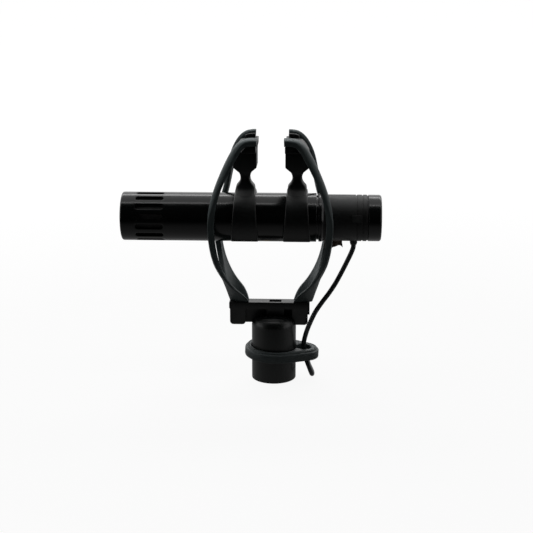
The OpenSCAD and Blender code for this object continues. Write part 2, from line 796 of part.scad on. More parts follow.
module cord_tube() {
    sides = side_vectors(0, [0, 1, 0]);
    points = [for (i = [0 : cord_last]) let (t = cord_tangent(i), u = sides[i], w = cross(t, u))
        for (k = [0 : cord_sides - 1]) let (a = 360 * k / cord_sides)
            cord_run[i] + (u * cos(a) + w * sin(a)) * cord_d / 2];
    walls = [for (i = [0 : cord_last - 1], k = [0 : cord_sides - 1]) let (n = (k + 1) % cord_sides)
        [i * cord_sides + k, (i + 1) * cord_sides + k, (i + 1) * cord_sides + n, i * cord_sides + n]];
    ends = [[for (k = [0 : cord_sides - 1]) k],
        [for (k = [cord_sides - 1 : -1 : 0]) cord_last * cord_sides + k]];
    color([0.16, 0.19, 0.2]) polyhedron(points = points, faces = concat(walls, ends), convexity = 8);
}

module hank_outline() {
    reach = hank_len / 2 - hank_end_r;
    for (s = [-1, 1]) translate([0, hank_mid + s * reach]) circle(r = hank_end_r);
    translate([-hank_waist / 2, hank_mid - reach]) square([hank_waist, 2 * reach]);
}

module cord_hank() {
    color([0.16, 0.19, 0.2]) difference() {
        linear_extrude(hank_h) hank_outline();
        translate([-20, hank_mid - tie_w / 2 - skin_gap, -1]) cube([40, tie_w + 2 * skin_gap, tie_t + 1]);
    }
}

module hank_tie() {
    half = hank_waist / 2 + skin_gap;
    color([0.03, 0.03, 0.03]) translate([0, hank_mid + tie_w / 2, 0]) rotate([90, 0, 0])
        linear_extrude(tie_w) difference() {
            translate([-half - tie_t, 0]) square([2 * (half + tie_t), hank_h + tie_t]);
            translate([-half, tie_t]) square([2 * half, hank_h - tie_t]);
        }
}

// Puts a shape that is built along +Z onto the plug's axis at y
module on_plug(y) {
    translate([plug_x, y, plug_z]) rotate([-90, 0, 0]) children();
}

module plug_sleeve() {
    back = plug_relief + plug_sleeve_len;
    edge = 0.6;
    color([0.05, 0.05, 0.05]) on_plug(plug_back)
        turned([[0, 0], [cord_d / 2 + 0.5, 0], [cord_d / 2 + 1.1, plug_relief],
            [plug_d / 2 - edge, plug_relief], [plug_d / 2, plug_relief + edge],
            [plug_d / 2, back - edge], [plug_d / 2 - edge, back], [0, back]]);
}

module plug_pin() {
    neck = 0.2;
    r = pin_d / 2;
    color([0.85, 0.7, 0.3]) on_plug(plug_back + plug_relief + plug_sleeve_len)
        turned([[0, 0], [r + 0.8, 0], [r + 0.8, 0.8], [r, 0.8], [r, plug_pin_len - 3.2],
            [r - neck, plug_pin_len - 3.1], [r - 2 * neck, plug_pin_len - 2.6],
            [r - neck, plug_pin_len - 2], [0.4, plug_pin_len], [0, plug_pin_len]]);
}

front_tube();
front_grille();
slot_mesh();
capsule_housing();
diaphragm_ring();
diaphragm();
backplate();
capsule_insulator();
capsule_contact();
capsule_retainer();
circuit_board();
board_components();
board_holders();
coupling_ring();
rear_sleeve();
index_plate();
end_cap();
cap_seal();
cable_gland();
marker_tab();
clip_left();
clip_right();
hanger_pins();
lyre_left();
lyre_right();
base_bar();
stem();
bar_screw();
screw_washer();
cable_ring();
cord_tube();
cord_hank();
hank_tie();
plug_sleeve();
plug_pin();
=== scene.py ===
"""Looks of a small condenser microphone held in two lyres on a stand stem."""
import math

import bmesh
import bpy
from mathutils import Matrix, Vector


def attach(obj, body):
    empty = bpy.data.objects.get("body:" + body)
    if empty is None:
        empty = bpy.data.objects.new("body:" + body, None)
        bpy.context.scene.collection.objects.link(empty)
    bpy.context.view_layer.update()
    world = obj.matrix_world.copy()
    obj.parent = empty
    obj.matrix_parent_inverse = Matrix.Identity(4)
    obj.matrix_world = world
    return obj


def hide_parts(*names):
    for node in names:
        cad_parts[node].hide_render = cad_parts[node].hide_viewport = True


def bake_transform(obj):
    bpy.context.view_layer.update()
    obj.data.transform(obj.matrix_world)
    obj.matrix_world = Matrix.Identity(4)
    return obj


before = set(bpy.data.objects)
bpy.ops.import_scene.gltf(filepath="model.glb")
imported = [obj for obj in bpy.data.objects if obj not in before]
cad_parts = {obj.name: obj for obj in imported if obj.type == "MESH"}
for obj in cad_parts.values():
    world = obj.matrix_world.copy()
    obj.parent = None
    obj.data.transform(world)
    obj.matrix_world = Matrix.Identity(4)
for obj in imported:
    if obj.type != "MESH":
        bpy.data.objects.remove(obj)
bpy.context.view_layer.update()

# ---- sizes of the part, in millimetres ----

MM = 0.001
MIC_FRONT = -65.6
MIC_BACK = 46.0
MIC_HEIGHT = 73.1
TUBE_R = 10.5
TUBE_BORE = 9.3
TUBE_BACK = 18.25
COLLAR_FRONT = 19.15
SLEEVE_FRONT = 21.25
SLEEVE_R = 10.0
SLEEVE_BORE = 8.75
CAP_FRONT = 40.4
SLOT_COUNT = 15
SLOT_START = math.radians(169)
SLOT_SECTOR = 2 * math.pi / SLOT_COUNT
GLAND_X = 34.4
GLAND_BOTTOM = 61.2
GLAND_R = 1.6
MOUNT_MID = -1.2
CLIP_SPACING = 22.2
CLIP_BORE = 10.55
CLIP_WALL = 1.9
BLOCK_BOTTOM = 93.5
BLOCK_HALF = 5.05
BLOCK_DEPTH = 6.0
CROSSBAR_DEPTH = 14.4
CROSSBAR_W = 6.4
CROSSBAR_H = 3.2
STOP_W = 4.6
STOP_INNER = 8.3
STOP_OUTER = 10.1
HOOK_HEIGHT = 109.3
REAR_HOOK_END = 7.15
LYRE_T = 2.9
HOOK_BOTTOM = HOOK_HEIGHT - LYRE_T
SKIN_INSET = 1.2
BAR_MID = -2.2
BAR_HALF = 17.4
BAR_TOP = 35.3
EAR_BOTTOM = 25.0
TENON_X = 14.4
STEM_R = 9.75
STEM_TOP = 29.0
SOCKET_R = 7.45
SOCKET_DEPTH = 13.5
RING_HEIGHT = 12.6
RING_TILT = 2.5
RING_HALF = 2.3
LOBE_X = 13.0
CORD_R = 1.05
HANK_MID = 40.0
PLUG_X = -2.6
PLUG_Z = 8.8
PLUG_BACK = 23.0

HOLDER = "holder"
MICROPHONE = "microphone"

# ---- camera ----


def placed(name, data):
    """New object in the scene."""
    obj = bpy.data.objects.new(name, data)
    bpy.context.scene.collection.objects.link(obj)
    return obj


def place_camera():
    """Camera in front of the microphone, looking slightly down."""
    data = bpy.data.cameras.new("camera")
    data.sensor_width = 36.0
    data.lens = 81.05
    data.clip_start = 0.02
    data.clip_end = 20.0
    camera = placed("camera", data)
    camera.location = (0.01697, -0.5047, 0.19099)
    camera.rotation_euler = (math.radians(74.5), 0.0, math.radians(2.3))
    bpy.context.scene.camera = camera


place_camera()

# ---- mesh helpers ----


def rounded(points, radii, steps=4):
    """Closed or open polyline whose corners are replaced by arcs; radii pairs with points."""
    done = []
    last = len(points) - 1
    for i, (point, radius) in enumerate(zip(points, radii)):
        here = Vector(point)
        if radius <= 0:
            done.append(tuple(here))
            continue
        before = Vector(points[i - 1])
        after = Vector(points[0 if i == last else i + 1])
        a = (before - here).normalized()
        b = (after - here).normalized()
        half = a.angle(b) / 2
        reach = radius / math.tan(half)
        centre = here + (a + b).normalized() * (radius / math.sin(half))
        start = here + a * reach - centre
        end = here + b * reach - centre
        turn = math.pi - 2 * half
        for k in range(steps + 1):
            t = k / steps
            arm = (start * math.sin((1 - t) * turn) + end * math.sin(t * turn)) / math.sin(turn)
            done.append(tuple(centre + arm))
    return done


def catmull(rows, steps):
    """Rows of numbers joined by a Catmull-Rom run, as lists."""
    last = len(rows) - 1
    run = []
    for i in range(last):
        p0, p1, p2, p3 = rows[max(0, i - 1)], rows[i], rows[i + 1], rows[min(last, i + 2)]
        for k in range(steps):
            t = k / steps
            run.append([
                0.5 * (2 * b + (c - a) * t + (2 * a - 5 * b + 4 * c - d) * t * t
                       + (3 * b - a - 3 * c + d) * t ** 3)
                for a, b, c, d in zip(p0, p1, p2, p3)])
    run.append(list(rows[last]))
    return run


def loft(rings, closed=True, cap_start=True, cap_end=True):
    """Vertices and faces of rings of points joined one to the next."""
    count = len(rings[0])
    verts = [p for ring in rings for p in ring]
    faces = []
    for i in range(len(rings) - 1):
        for k in range(count if closed else count - 1):
            n = (k + 1) % count
            faces.append((i * count + k, i * count + n, (i + 1) * count + n, (i + 1) * count + k))
    if cap_start:
        faces.append(tuple(range(count - 1, -1, -1)))
    if cap_end:
        faces.append(tuple((len(rings) - 1) * count + k for k in range(count)))
    return verts, faces


def joined(*shells):
    """Several (vertices, faces) shells as one."""
    verts, faces = [], []
    for shell_verts, shell_faces in shells:
        offset = len(verts)
        verts += list(shell_verts)
        faces += [tuple(i + offset for i in face) for face in shell_faces]
    return verts, faces


def moved(shell, mapping):
    """The shell with each point put through a mapping."""
    return [mapping(Vector(v)) for v in shell[0]], shell[1]


def on_mic(radius, angle, x):
    """Point on the microphone: angle from +Y towards +Z, x along the axis."""
    return (x, radius * math.cos(angle), MIC_HEIGHT + radius * math.sin(angle))


def turned(count, start=0.0):
    """Angles of one full turn."""
    return [start + 2 * math.pi * k / count for k in range(count)]


def mic_lathe(profile, segments=128, start=0.0):
    """Turned shell on the microphone's axis; profile is (radius, x)."""
    rings = [[on_mic(r, a, x) for a in turned(segments, start)] for r, x in profile]
    return loft(rings, cap_start=False, cap_end=False)


def solid_lathe(profile, place, segments=64):
    """Turned solid, profile as (radius, height), put in place by a mapping."""
    rings = [[place(r * math.cos(a), r * math.sin(a), h) for a in turned(segments)] for r, h in profile]
    return loft(rings)


def prism(outline, low, high, axis="y"):
    """Outline in the plane across an axis, extruded from low to high along it."""
    if axis == "y":
        rings = [[(a, level, b) for a, b in outline] for level in (low, high)]
    else:
        rings = [[(a, b, level) for a, b in outline] for level in (low, high)]
    return loft(rings)


def box_outline(x0, x1, z0, z1):
    """Corners of a rectangle."""
    return [(x0, z0), (x1, z0), (x1, z1), (x0, z1)]


def smoothed(mesh, sharp):
    """Shades the mesh smooth, apart from edges sharper than an angle."""
    for polygon in mesh.polygons:
        polygon.use_smooth = True
    mesh.set_sharp_from_angle(angle=math.radians(sharp))


def make_object(name, shell, sharp=38.0):
    """Mesh object in metres from a shell in millimetres, with outward normals."""
    mesh = bpy.data.meshes.new(name)
    mesh.from_pydata([Vector(v) * MM for v in shell[0]], [], shell[1])
    bm = bmesh.new()
    bm.from_mesh(mesh)
    bmesh.ops.remove_doubles(bm, verts=bm.verts, dist=1e-7)
    bmesh.ops.dissolve_degenerate(bm, edges=bm.edges, dist=1e-8)
    bmesh.ops.recalc_face_normals(bm, faces=bm.faces)
    bm.to_mesh(mesh)
    bm.free()
    smoothed(mesh, sharp)
    return placed(name, mesh)


def baked(obj, sharp=38.0):
    """The object with its modifiers applied."""
    graph = bpy.context.evaluated_depsgraph_get()
    graph.update()
    mesh = bpy.data.meshes.new_from_object(obj.evaluated_get(graph))
    obj.modifiers.clear()
    obj.data = mesh
    smoothed(mesh, sharp)
    return obj


def combined(obj, tools, operation="DIFFERENCE"):
    """The object cut by, or joined with, each tool shell."""
    for i, tool in enumerate(tools):
        cutter = make_object(f"{obj.name}_tool_{i}", tool)
        modifier = obj.modifiers.new("shape", "BOOLEAN")
        modifier.object = cutter
        modifier.operation = operation
        modifier.solver = "EXACT"
        baked(obj)
        bpy.data.objects.remove(cutter)
    return obj


def bevelled(obj, width, segments=3, angle=35.0):
    """Rounds the edges that are sharper than the angle."""
    modifier = obj.modifiers.new("edges", "BEVEL")
    modifier.width = width * MM
    modifier.segments = segments
    modifier.limit_method = "ANGLE"
    modifier.angle_limit = math.radians(angle)
    return baked(obj, 50.0)


def finish_piece(obj, body, slot, material, *nodes):
    """Gives a piece its material and body, and hides the CAD nodes it stands for; its slot is not used."""
    obj.data.materials.clear()
    obj.data.materials.append(material)
    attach(obj, body)
    if nodes:
        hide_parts(*nodes)
    return obj


# ---- shared surface effects ----


def rgba(shade):
    """Opaque colour from a grey level or from red, green and blue."""
    return (shade, shade, shade, 1.0) if isinstance(shade, float) else (*shade, 1.0)


SOCKET_KINDS = {float: "NodeSocketFloat", tuple: "NodeSocketColor", type(None): "NodeSocketVector"}


def new_group(name, inputs, outputs):
    """Empty shader node group with its ways in and out; a socket without a value is a vector."""
    group = bpy.data.node_groups.new(name, "ShaderNodeTree")
    for way, sockets in (("INPUT", inputs), ("OUTPUT", outputs)):
        for label, value in sockets.items():
            kind = SOCKET_KINDS[type(value)]
            socket = group.interface.new_socket(name=label, in_out=way, socket_type=kind)
            if value is not None:
                socket.default_value = value
    return group, group.nodes.new("NodeGroupInput").outputs, group.nodes.new("NodeGroupOutput").inputs


def feed(tree, socket, value):
    """Links a socket to an output, or sets its own value."""
    if isinstance(value, bpy.types.NodeSocket):
        tree.links.new(value, socket)
    else:
        socket.default_value = value


def node(tree, kind, inputs=(), **settings):
    """New node with its settings; inputs are pairs of a socket's name and what feeds it."""
    made = tree.nodes.new(kind)
    for key, value in settings.items():
        setattr(made, key, value)
    for key, value in dict(inputs).items():
        feed(tree, made.inputs[key], value)
    return made


def math_node(tree, operation, *values, clamp=False):
    """Result of a math node fed by outputs or numbers."""
    made = node(tree, "ShaderNodeMath", enumerate(values), operation=operation, use_clamp=clamp)
    return made.outputs[0]


def ranged(tree, value, low, high, start=0.0, end=1.0):
    """A value spread from one range to another."""
    return node(tree, "ShaderNodeMapRange", {"Value": value, "From Min": low, "From Max": high,
                                             "To Min": start, "To Max": end}).outputs["Result"]


def mixed(tree, factor, first, second):
    """Colour between two colours."""
    return node(tree, "ShaderNodeMix", {"Factor": factor, "A": first, "B": second},
                data_type="RGBA").outputs["Result"]


def mottle(tree, vector, scale, detail):
    """Cloudy mask of a given scale."""
    return node(tree, "ShaderNodeTexNoise",
                {"Vector": vector, "Scale": scale, "Detail": detail}).outputs["Fac"]


def build_moulded_grain():
    """Soft mottling of a moulded or coated surface: colour, roughness and a fine height."""
    group, given, result = new_group(
        "moulded_grain",
        {"Vector": None, "Colour": rgba(0.1), "Worn colour": rgba(0.15), "Patch scale": 120.0,
         "Grain scale": 2500.0, "Low roughness": 0.35, "High roughness": 0.5},
        {"Colour": rgba(0.1), "Roughness": 0.5, "Height": 0.0})
    patches = mottle(group, given["Vector"], given["Patch scale"], 4.0)
    grain = mottle(group, given["Vector"], given["Grain scale"], 2.0)
    worn = ranged(group, patches, 0.35, 0.7)
    feed(group, result["Colour"], mixed(group, worn, given["Colour"], given["Worn colour"]))
    feed(group, result["Roughness"],
         ranged(group, grain, 0.3, 0.7, given["Low roughness"], given["High roughness"]))
    feed(group, result["Height"], grain)
    return group


def build_bead_texture():
    """Fine bead-blasted skin: its colour, with painted shade in the hollows between the beads and lighter
    crests, and a height.
    """
    group, given, result = new_group(
        "bead_texture",
        {"Vector": None, "Scale": 2600.0, "Colour": rgba(0.02), "Crest colour": rgba(0.05)},
        {"Colour": rgba(0.02), "Height": 0.0})
    cells = node(group, "ShaderNodeTexVoronoi",
                 {"Vector": given["Vector"], "Scale": given["Scale"], "Smoothness": 0.6},
                 feature="SMOOTH_F1")
    crest = math_node(group, "SUBTRACT", 1.0, cells.outputs["Distance"])
    height = math_node(group, "MULTIPLY", crest, mottle(group, given["Vector"], given["Scale"], 3.0))
    # painted shade: the colour runs from the dark hollows between the beads to the lighter crests
    shade = ranged(group, height, 0.15, 0.55)
    feed(group, result["Colour"], mixed(group, shade, given["Colour"], given["Crest colour"]))
    feed(group, result["Height"], height)
    return group


def build_settled_dust():
    """Mask of the faint dust on faces that look up."""
    group, given, result = new_group(
        "settled_dust", {"Vector": None, "Scale": 900.0, "Amount": 0.1}, {"Mask": 0.0})
    geometry = node(group, "ShaderNodeNewGeometry")
    split = node(group, "ShaderNodeSeparateXYZ", {"Vector": geometry.outputs["Normal"]})
    up = math_node(group, "MAXIMUM", split.outputs["Z"], 0.0)
    steep = math_node(group, "POWER", up, 2.0)
    patchy = math_node(group, "MULTIPLY", steep, mottle(group, given["Vector"], given["Scale"], 5.0))
    feed(group, result["Mask"], math_node(group, "MULTIPLY", patchy, given["Amount"], clamp=True))
    return group


def build_woven_wire():
    """Crossed fine wires wrapped round the microphone's axis: a mask of the wires."""
    group, given, result = new_group(
        "woven_wire", {"Vector": None, "Wires per metre": 3300.0}, {"Wire": 0.0})
    split = node(group, "ShaderNodeSeparateXYZ", {"Vector": given["Vector"]}).outputs
    lifted = math_node(group, "SUBTRACT", split["Z"], MIC_HEIGHT * MM)
    angle = math_node(group, "ARCTAN2", lifted, split["Y"])
    waves = []
    for way in (split["X"], math_node(group, "MULTIPLY", angle, TUBE_BORE * MM)):
        turns = math_node(group, "MULTIPLY", way, given["Wires per metre"])
        waves.append(math_node(group, "SINE", math_node(group, "MULTIPLY", turns, 2 * math.pi)))
    wire = math_node(group, "MAXIMUM", *waves)
    feed(group, result["Wire"], math_node(group, "MULTIPLY_ADD", wire, 0.5, 0.5))
    return group


MOULDED_GRAIN = build_moulded_grain()
BEAD_TEXTURE = build_bead_texture()
SETTLED_DUST = build_settled_dust()
WOVEN_WIRE = build_woven_wire()

# ---- materials ----

DUST_GREY = (0.3, 0.31, 0.31)


def blank_material(name):
    """New material and its node tree."""
    material = bpy.data.materials.new(name)
    material.use_nodes = True
    return material, material.node_tree


def start_material(name, metallic=0.0, specular=0.5, sheen=0.0):
    """New material with a Principled shader; returns it with its tree, shader and coordinates."""
    material, tree = blank_material(name)
    shader = tree.nodes["Principled BSDF"]
    for label, value in (("Metallic", metallic), ("Specular IOR Level", specular),
                         ("Sheen Weight", sheen), ("Sheen Roughness", 0.4)):
        shader.inputs[label].default_value = value
    return material, tree, shader, node(tree, "ShaderNodeTexCoord").outputs["Object"]


def add_group(tree, group, coordinates, **values):
    """A shared effect with its own values; names use _ for spaces."""
    made = node(tree, "ShaderNodeGroup", node_tree=group)
    feed(tree, made.inputs["Vector"], coordinates)
    for key, value in values.items():
        made.inputs[key.replace("_", " ")].default_value = value
    return made.outputs


def add_bump(tree, shader, height, strength, distance):
    """Fine relief, its depth in millimetres."""
    bump = node(tree, "ShaderNodeBump", {"Strength": strength, "Distance": distance * MM, "Height": height})
    feed(tree, shader.inputs["Normal"], bump.outputs["Normal"])


def dusted(tree, colour, coordinates, amount):
    """Colour with settled dust laid over it."""
    if not amount:
        return colour
    dust = add_group(tree, SETTLED_DUST, coordinates, Amount=amount)
    return mixed(tree, dust["Mask"], colour, rgba(DUST_GREY))


def moulded(name, colour, worn, low, high, patch=120.0, grain=2500.0, bump=0.08, depth=0.02,
            dust=0.0, **shader_values):
    """Moulded, coated or anodised surface."""
    material, tree, shader, coordinates = start_material(name, **shader_values)
    surface = add_group(tree, MOULDED_GRAIN, coordinates, Colour=rgba(colour), Worn_colour=rgba(worn),
                        Patch_scale=patch, Grain_scale=grain, Low_roughness=low, High_roughness=high)
    feed(tree, shader.inputs["Base Color"], dusted(tree, surface["Colour"], coordinates, dust))
    feed(tree, shader.inputs["Roughness"], surface["Roughness"])
    add_bump(tree, shader, surface["Height"], bump, depth)
    return material


def beaded(name, colour, crest, rough, scale, strength, dust=0.0):
    """Matt skin of fine beads, its hollows painted darker than its crests as painted shade."""
    material, tree, shader, coordinates = start_material(name, specular=0.4)
    skin = add_group(tree, BEAD_TEXTURE, coordinates, Scale=scale, Colour=rgba(colour),
                     Crest_colour=rgba(crest))
    feed(tree, shader.inputs["Base Color"], dusted(tree, skin["Colour"], coordinates, dust))
    shader.inputs["Roughness"].default_value = rough
    add_bump(tree, shader, skin["Height"], strength, 0.12)
    return material


def woven(name):
    """Dark woven wire behind the slots."""
    material, tree, shader, coordinates = start_material(name, metallic=0.6)
    wire = add_group(tree, WOVEN_WIRE, coordinates)["Wire"]
    feed(tree, shader.inputs["Base Color"], mixed(tree, wire, rgba(0.002), rgba(0.03)))
    shader.inputs["Roughness"].default_value = 0.45
    add_bump(tree, shader, wire, 0.6, 0.1)
    return material


TUBE_BLACK = moulded("tube_black", (0.0045, 0.0055, 0.0055), (0.006, 0.007, 0.007), 0.16, 0.2,
                     patch=60.0, grain=1500.0, bump=0.01, depth=0.01, specular=0.4)
CAP_BLACK = moulded("cap_black", (0.005, 0.006, 0.006), (0.007, 0.008, 0.008), 0.18, 0.24,
                    patch=80.0, bump=0.015, depth=0.01, specular=0.45)
# the bead skins' second colour is a lighter crest colour; their darker hollows are painted shade
SLEEVE_BLACK = beaded("sleeve_black", (0.004, 0.0045, 0.0045), (0.014, 0.015, 0.015), 0.5,
                      3000.0, 0.5, 0.04)
INDEX_BLACK = beaded("index_black", (0.02, 0.021, 0.021), (0.055, 0.057, 0.057), 0.5, 3600.0, 0.35)
CLIP_BLACK = moulded("clip_black", (0.003, 0.0037, 0.0036), (0.0058, 0.007, 0.0068), 0.36, 0.5,
                     patch=140.0, grain=3200.0, bump=0.12, dust=0.03, specular=0.45)
LYRE_GREY = moulded("lyre_grey", (0.06, 0.079, 0.08), (0.078, 0.1, 0.102), 0.46, 0.6,
                    patch=90.0, grain=2600.0, bump=0.06, specular=0.4, sheen=0.05)
BAR_BLACK = moulded("bar_black", (0.0035, 0.0042, 0.0042), (0.007, 0.008, 0.008), 0.3, 0.42,
                    patch=160.0, grain=2800.0, bump=0.1, dust=0.1, specular=0.45)
STEM_BLACK = moulded("stem_black", (0.005, 0.0062, 0.006), (0.008, 0.0095, 0.009), 0.3, 0.4,
                     patch=110.0, grain=3400.0, bump=0.12, specular=0.45)
RING_RUBBER = moulded("ring_rubber", (0.045, 0.058, 0.06), (0.075, 0.09, 0.092), 0.42, 0.58,
                      patch=150.0, grain=2000.0, bump=0.12, depth=0.03, dust=0.12, specular=0.4, sheen=0.1)
LEAD_GREY = moulded("lead_grey", (0.022, 0.028, 0.03), (0.034, 0.042, 0.044), 0.34, 0.46,
                    patch=200.0, grain=2600.0, bump=0.06, depth=0.015, specular=0.45)
GLAND_RUBBER = moulded("gland_rubber", 0.012, 0.02, 0.5, 0.65)
TAB_BROWN = moulded("tab_brown", (0.07, 0.04, 0.022), (0.13, 0.085, 0.055), 0.5, 0.7,
                    patch=420.0, grain=3000.0, bump=0.3, depth=0.05, sheen=0.2)
TIE_BLACK = moulded("tie_black", 0.012, 0.02, 0.4, 0.55)
PLUG_BLACK = moulded("plug_black", 0.012, (0.02, 0.021, 0.021), 0.35, 0.5)
PLUG_GOLD = moulded("plug_gold", (0.83, 0.6, 0.24), (0.75, 0.52, 0.2), 0.16, 0.26,
                    patch=300.0, bump=0.02, depth=0.01, metallic=1.0)
PIN_STEEL = moulded("pin_steel", 0.5, 0.42, 0.3, 0.42, metallic=1.0)
SCREW_STEEL = moulded("screw_steel", (0.55, 0.55, 0.53), (0.45, 0.45, 0.44), 0.28, 0.4, metallic=1.0)
GRILLE_DARK = moulded("grille_dark", 0.03, 0.05, 0.35, 0.5, metallic=0.7)
MESH_DARK = woven("mesh_dark")
CAPSULE_BRASS = moulded("capsule_brass", (0.6, 0.45, 0.2), (0.5, 0.36, 0.15), 0.25, 0.4, metallic=1.0)
FILM_GOLD = moulded("film_gold", (0.83, 0.62, 0.26), (0.78, 0.56, 0.22), 0.15, 0.25, metallic=1.0)
INSULATOR_WHITE = moulded("insulator_white", (0.75, 0.75, 0.68), (0.68, 0.68, 0.6), 0.45, 0.6)
RETAINER_GREY = moulded("retainer_grey", 0.4, 0.33, 0.3, 0.45, metallic=1.0)
BOARD_GREEN = moulded("board_green", (0.02, 0.12, 0.05), (0.03, 0.15, 0.07), 0.3, 0.45)
COMPONENT_BLACK = moulded("component_black", 0.02, 0.03, 0.35, 0.5)
HOLDER_GREY = moulded("holder_grey", (0.65, 0.65, 0.6), (0.58, 0.58, 0.53), 0.45, 0.6)
SEAL_RUBBER = moulded("seal_rubber", 0.012, 0.02, 0.5, 0.65)
THREAD_BRASS = moulded("thread_brass", (0.45, 0.34, 0.16), (0.36, 0.26, 0.12), 0.28, 0.42, metallic=1.0)

# ---- lead: one centreline from the gland to the plug ----

LEAD_ROUTE = [
    [34.4, 0, 61.2], [34.4, 0, 60.4], [34.2, 0, 59.4], [33.3, 0, 57], [31.5, 0, 53],
    [29.3, -0.2, 48.4], [26.9, -0.8, 43.9], [24.1, -1.6, 39.6], [20.9, -2.6, 35.4],
    [18.2, -3.5, 31.4], [16.2, -4, 27.2], [14.7, -3.7, 23.2], [13.7, -2.4, 19.2],
    [13.2, -1, 15.8], [13.4, -0.6, 12.4], [14.4, -1.8, 9], [15.7, -3, 5.8],
    [16.7, -2.6, 3], [17.1, 0.2, 1.3], [17, 4, 1.1], [16.2, 9, 1.1], [15.4, 14, 1.1],
    [14.8, 20, 1.1], [14.3, 26, 1.1], [13.4, 32, 1.1], [11, 38, 1.1], [8.1, 43.4, 1.1],
    [6.6, 48, 1.1]]


def hank_route():
    """Figure of eight folded flat and tied at its waist, up to the last pass towards the plug."""
    far, near, radius = 53.6, 26.4, 6.2
    low, high = 1.1, 3.2
    reach = (far - near) / 2
    points = []

    def fold(centre, way, start, end):
        """Half turn round an end, from the right side to the left."""
        steps = 7
        for k in range(steps + 1):
            a = math.pi * k / steps
            points.append([radius * math.cos(a), centre + way * radius * math.sin(a),
                           start + (end - start) * k / steps])

    def crossing(side, way, waist, heights):
        """Run through the waist from one side to the other; way is -1 towards the stem."""
        for share, height in zip((-0.78, -0.4, 0.0, 0.4, 0.78), heights):
            x = side * radius * share ** 3 * 1.35 + waist * (1 - share ** 2)
            points.append([x, HANK_MID + way * share * reach, height])

    fold(far, 1, low, low)
    crossing(1, -1, -1.1, [low] * 5)
    fold(near, -1, low, high)
    crossing(1, 1, 0.0, [high] * 5)
    fold(far, 1, high, high)
    crossing(1, -1, 1.1, (2.9, 1.7, low, 1.7, 3.0))
    return points


# ---- microphone ----


def slotted_band(front, back):
    """Wall between two planes with a ring of round-ended slots whose edges are eased."""
    half_width, half_length = 1.2, 6.0
    across, along = 12, 16
    reach = half_length - half_width
    middle = MIC_FRONT + 6.5 + half_length
    ease = 0.14
    border, slot_line = [], []
    for way, near, far in ((1, front, back), (-1, back, front)):
        for k in range(along):
            t = k / along
            border.append((way * SLOT_SECTOR / 2, near + (far - near) * t))
            slot_line.append((way * half_width, middle + way * reach * (2 * t - 1), way, 0.0))
        for k in range(across):
            t = k / across
            u, x = way * math.cos(math.pi * t), way * math.sin(math.pi * t)
            border.append((way * SLOT_SECTOR * (0.5 - t), far))
            slot_line.append((half_width * u, middle + way * reach + half_width * x, u, x))

    def slot_ring(centre, radius, grow):
        return [on_mic(radius, centre + math.asin((u + nu * grow) / radius), x + nx * grow)
                for u, x, nu, nx in slot_line]

    def border_ring(centre, radius, share, grow):
        ring = []
        for (a, x), (u, sx, nu, nx) in zip(border, slot_line):
            slot_a = math.asin((u + nu * grow) / radius)
            slot_x = sx + nx * grow
            ring.append(on_mic(radius, centre + slot_a + (a - slot_a) * share,
                               slot_x + (x - slot_x) * share))
        return ring

    shells = []
    for i in range(SLOT_COUNT):
        centre = SLOT_START + i * SLOT_SECTOR
        rings = [border_ring(centre, TUBE_R, s, ease) for s in (1.0, 0.66, 0.33)]
        rings += [slot_ring(centre, TUBE_R, ease), slot_ring(centre, TUBE_R - ease * 0.3, ease * 0.3),
                  slot_ring(centre, TUBE_R - ease, 0), slot_ring(centre, TUBE_BORE, 0)]
        rings += [border_ring(centre, TUBE_BORE, s, 0) for s in (0.5, 1.0)]
        shells.append(loft(rings, cap_start=False, cap_end=False))
    return joined(*shells)


def front_tube():
    """Tube with a rounded nose, a lip and the slotted band."""
    segments = 180
    band_front, band_back = MIC_FRONT + 4.2, MIC_FRONT + 20.8
    lip = 8.6
    nose = rounded([(TUBE_BORE, band_front), (TUBE_BORE, MIC_FRONT + 1), (lip, MIC_FRONT + 1),
                    (lip, MIC_FRONT), (TUBE_R, MIC_FRONT), (TUBE_R, band_front)],
                   [0, 0, 0.12, 0.2, 0.85, 0], 6)
    tail = rounded([(TUBE_R, band_back), (TUBE_R, TUBE_BACK), (TUBE_BORE, TUBE_BACK),
                    (TUBE_BORE, band_back)], [0, 0.2, 0.1, 0], 3)
    walls = [mic_lathe(profile, segments, SLOT_START - SLOT_SECTOR / 2) for profile in (nose, tail)]
    obj = make_object("mic_tube", joined(walls[0], slotted_band(band_front, band_back), walls[1]), 30.0)
    finish_piece(obj, MICROPHONE, "tube_black", TUBE_BLACK, "front_tube")


def coupling_collar():
    """Grooved neck, bright bevelled collar and the hidden spigots."""
    groove, bore = TUBE_R - 0.9, 7.15
    front_r, back_r = TUBE_BORE - 0.05, SLEEVE_BORE - 0.05
    top = TUBE_R - 0.1
    front, back = 12.25, 26.25
    profile = rounded(
        [(bore, front), (front_r, front), (front_r, 18.3), (groove, 18.3), (groove, COLLAR_FRONT),
         (top, COLLAR_FRONT), (top, 20.4), (SLEEVE_R - 0.1, SLEEVE_FRONT), (back_r, SLEEVE_FRONT),
         (back_r, back), (bore, back)],
        [0, 0.2, 0, 0, 0.1, 0.22, 0.15, 0.1, 0, 0.2, 0], 3)
    obj = make_object("mic_collar", mic_lathe(profile + profile[:1]), 30.0)
    finish_piece(obj, MICROPHONE, "tube_black", CAP_BLACK, "coupling_ring")


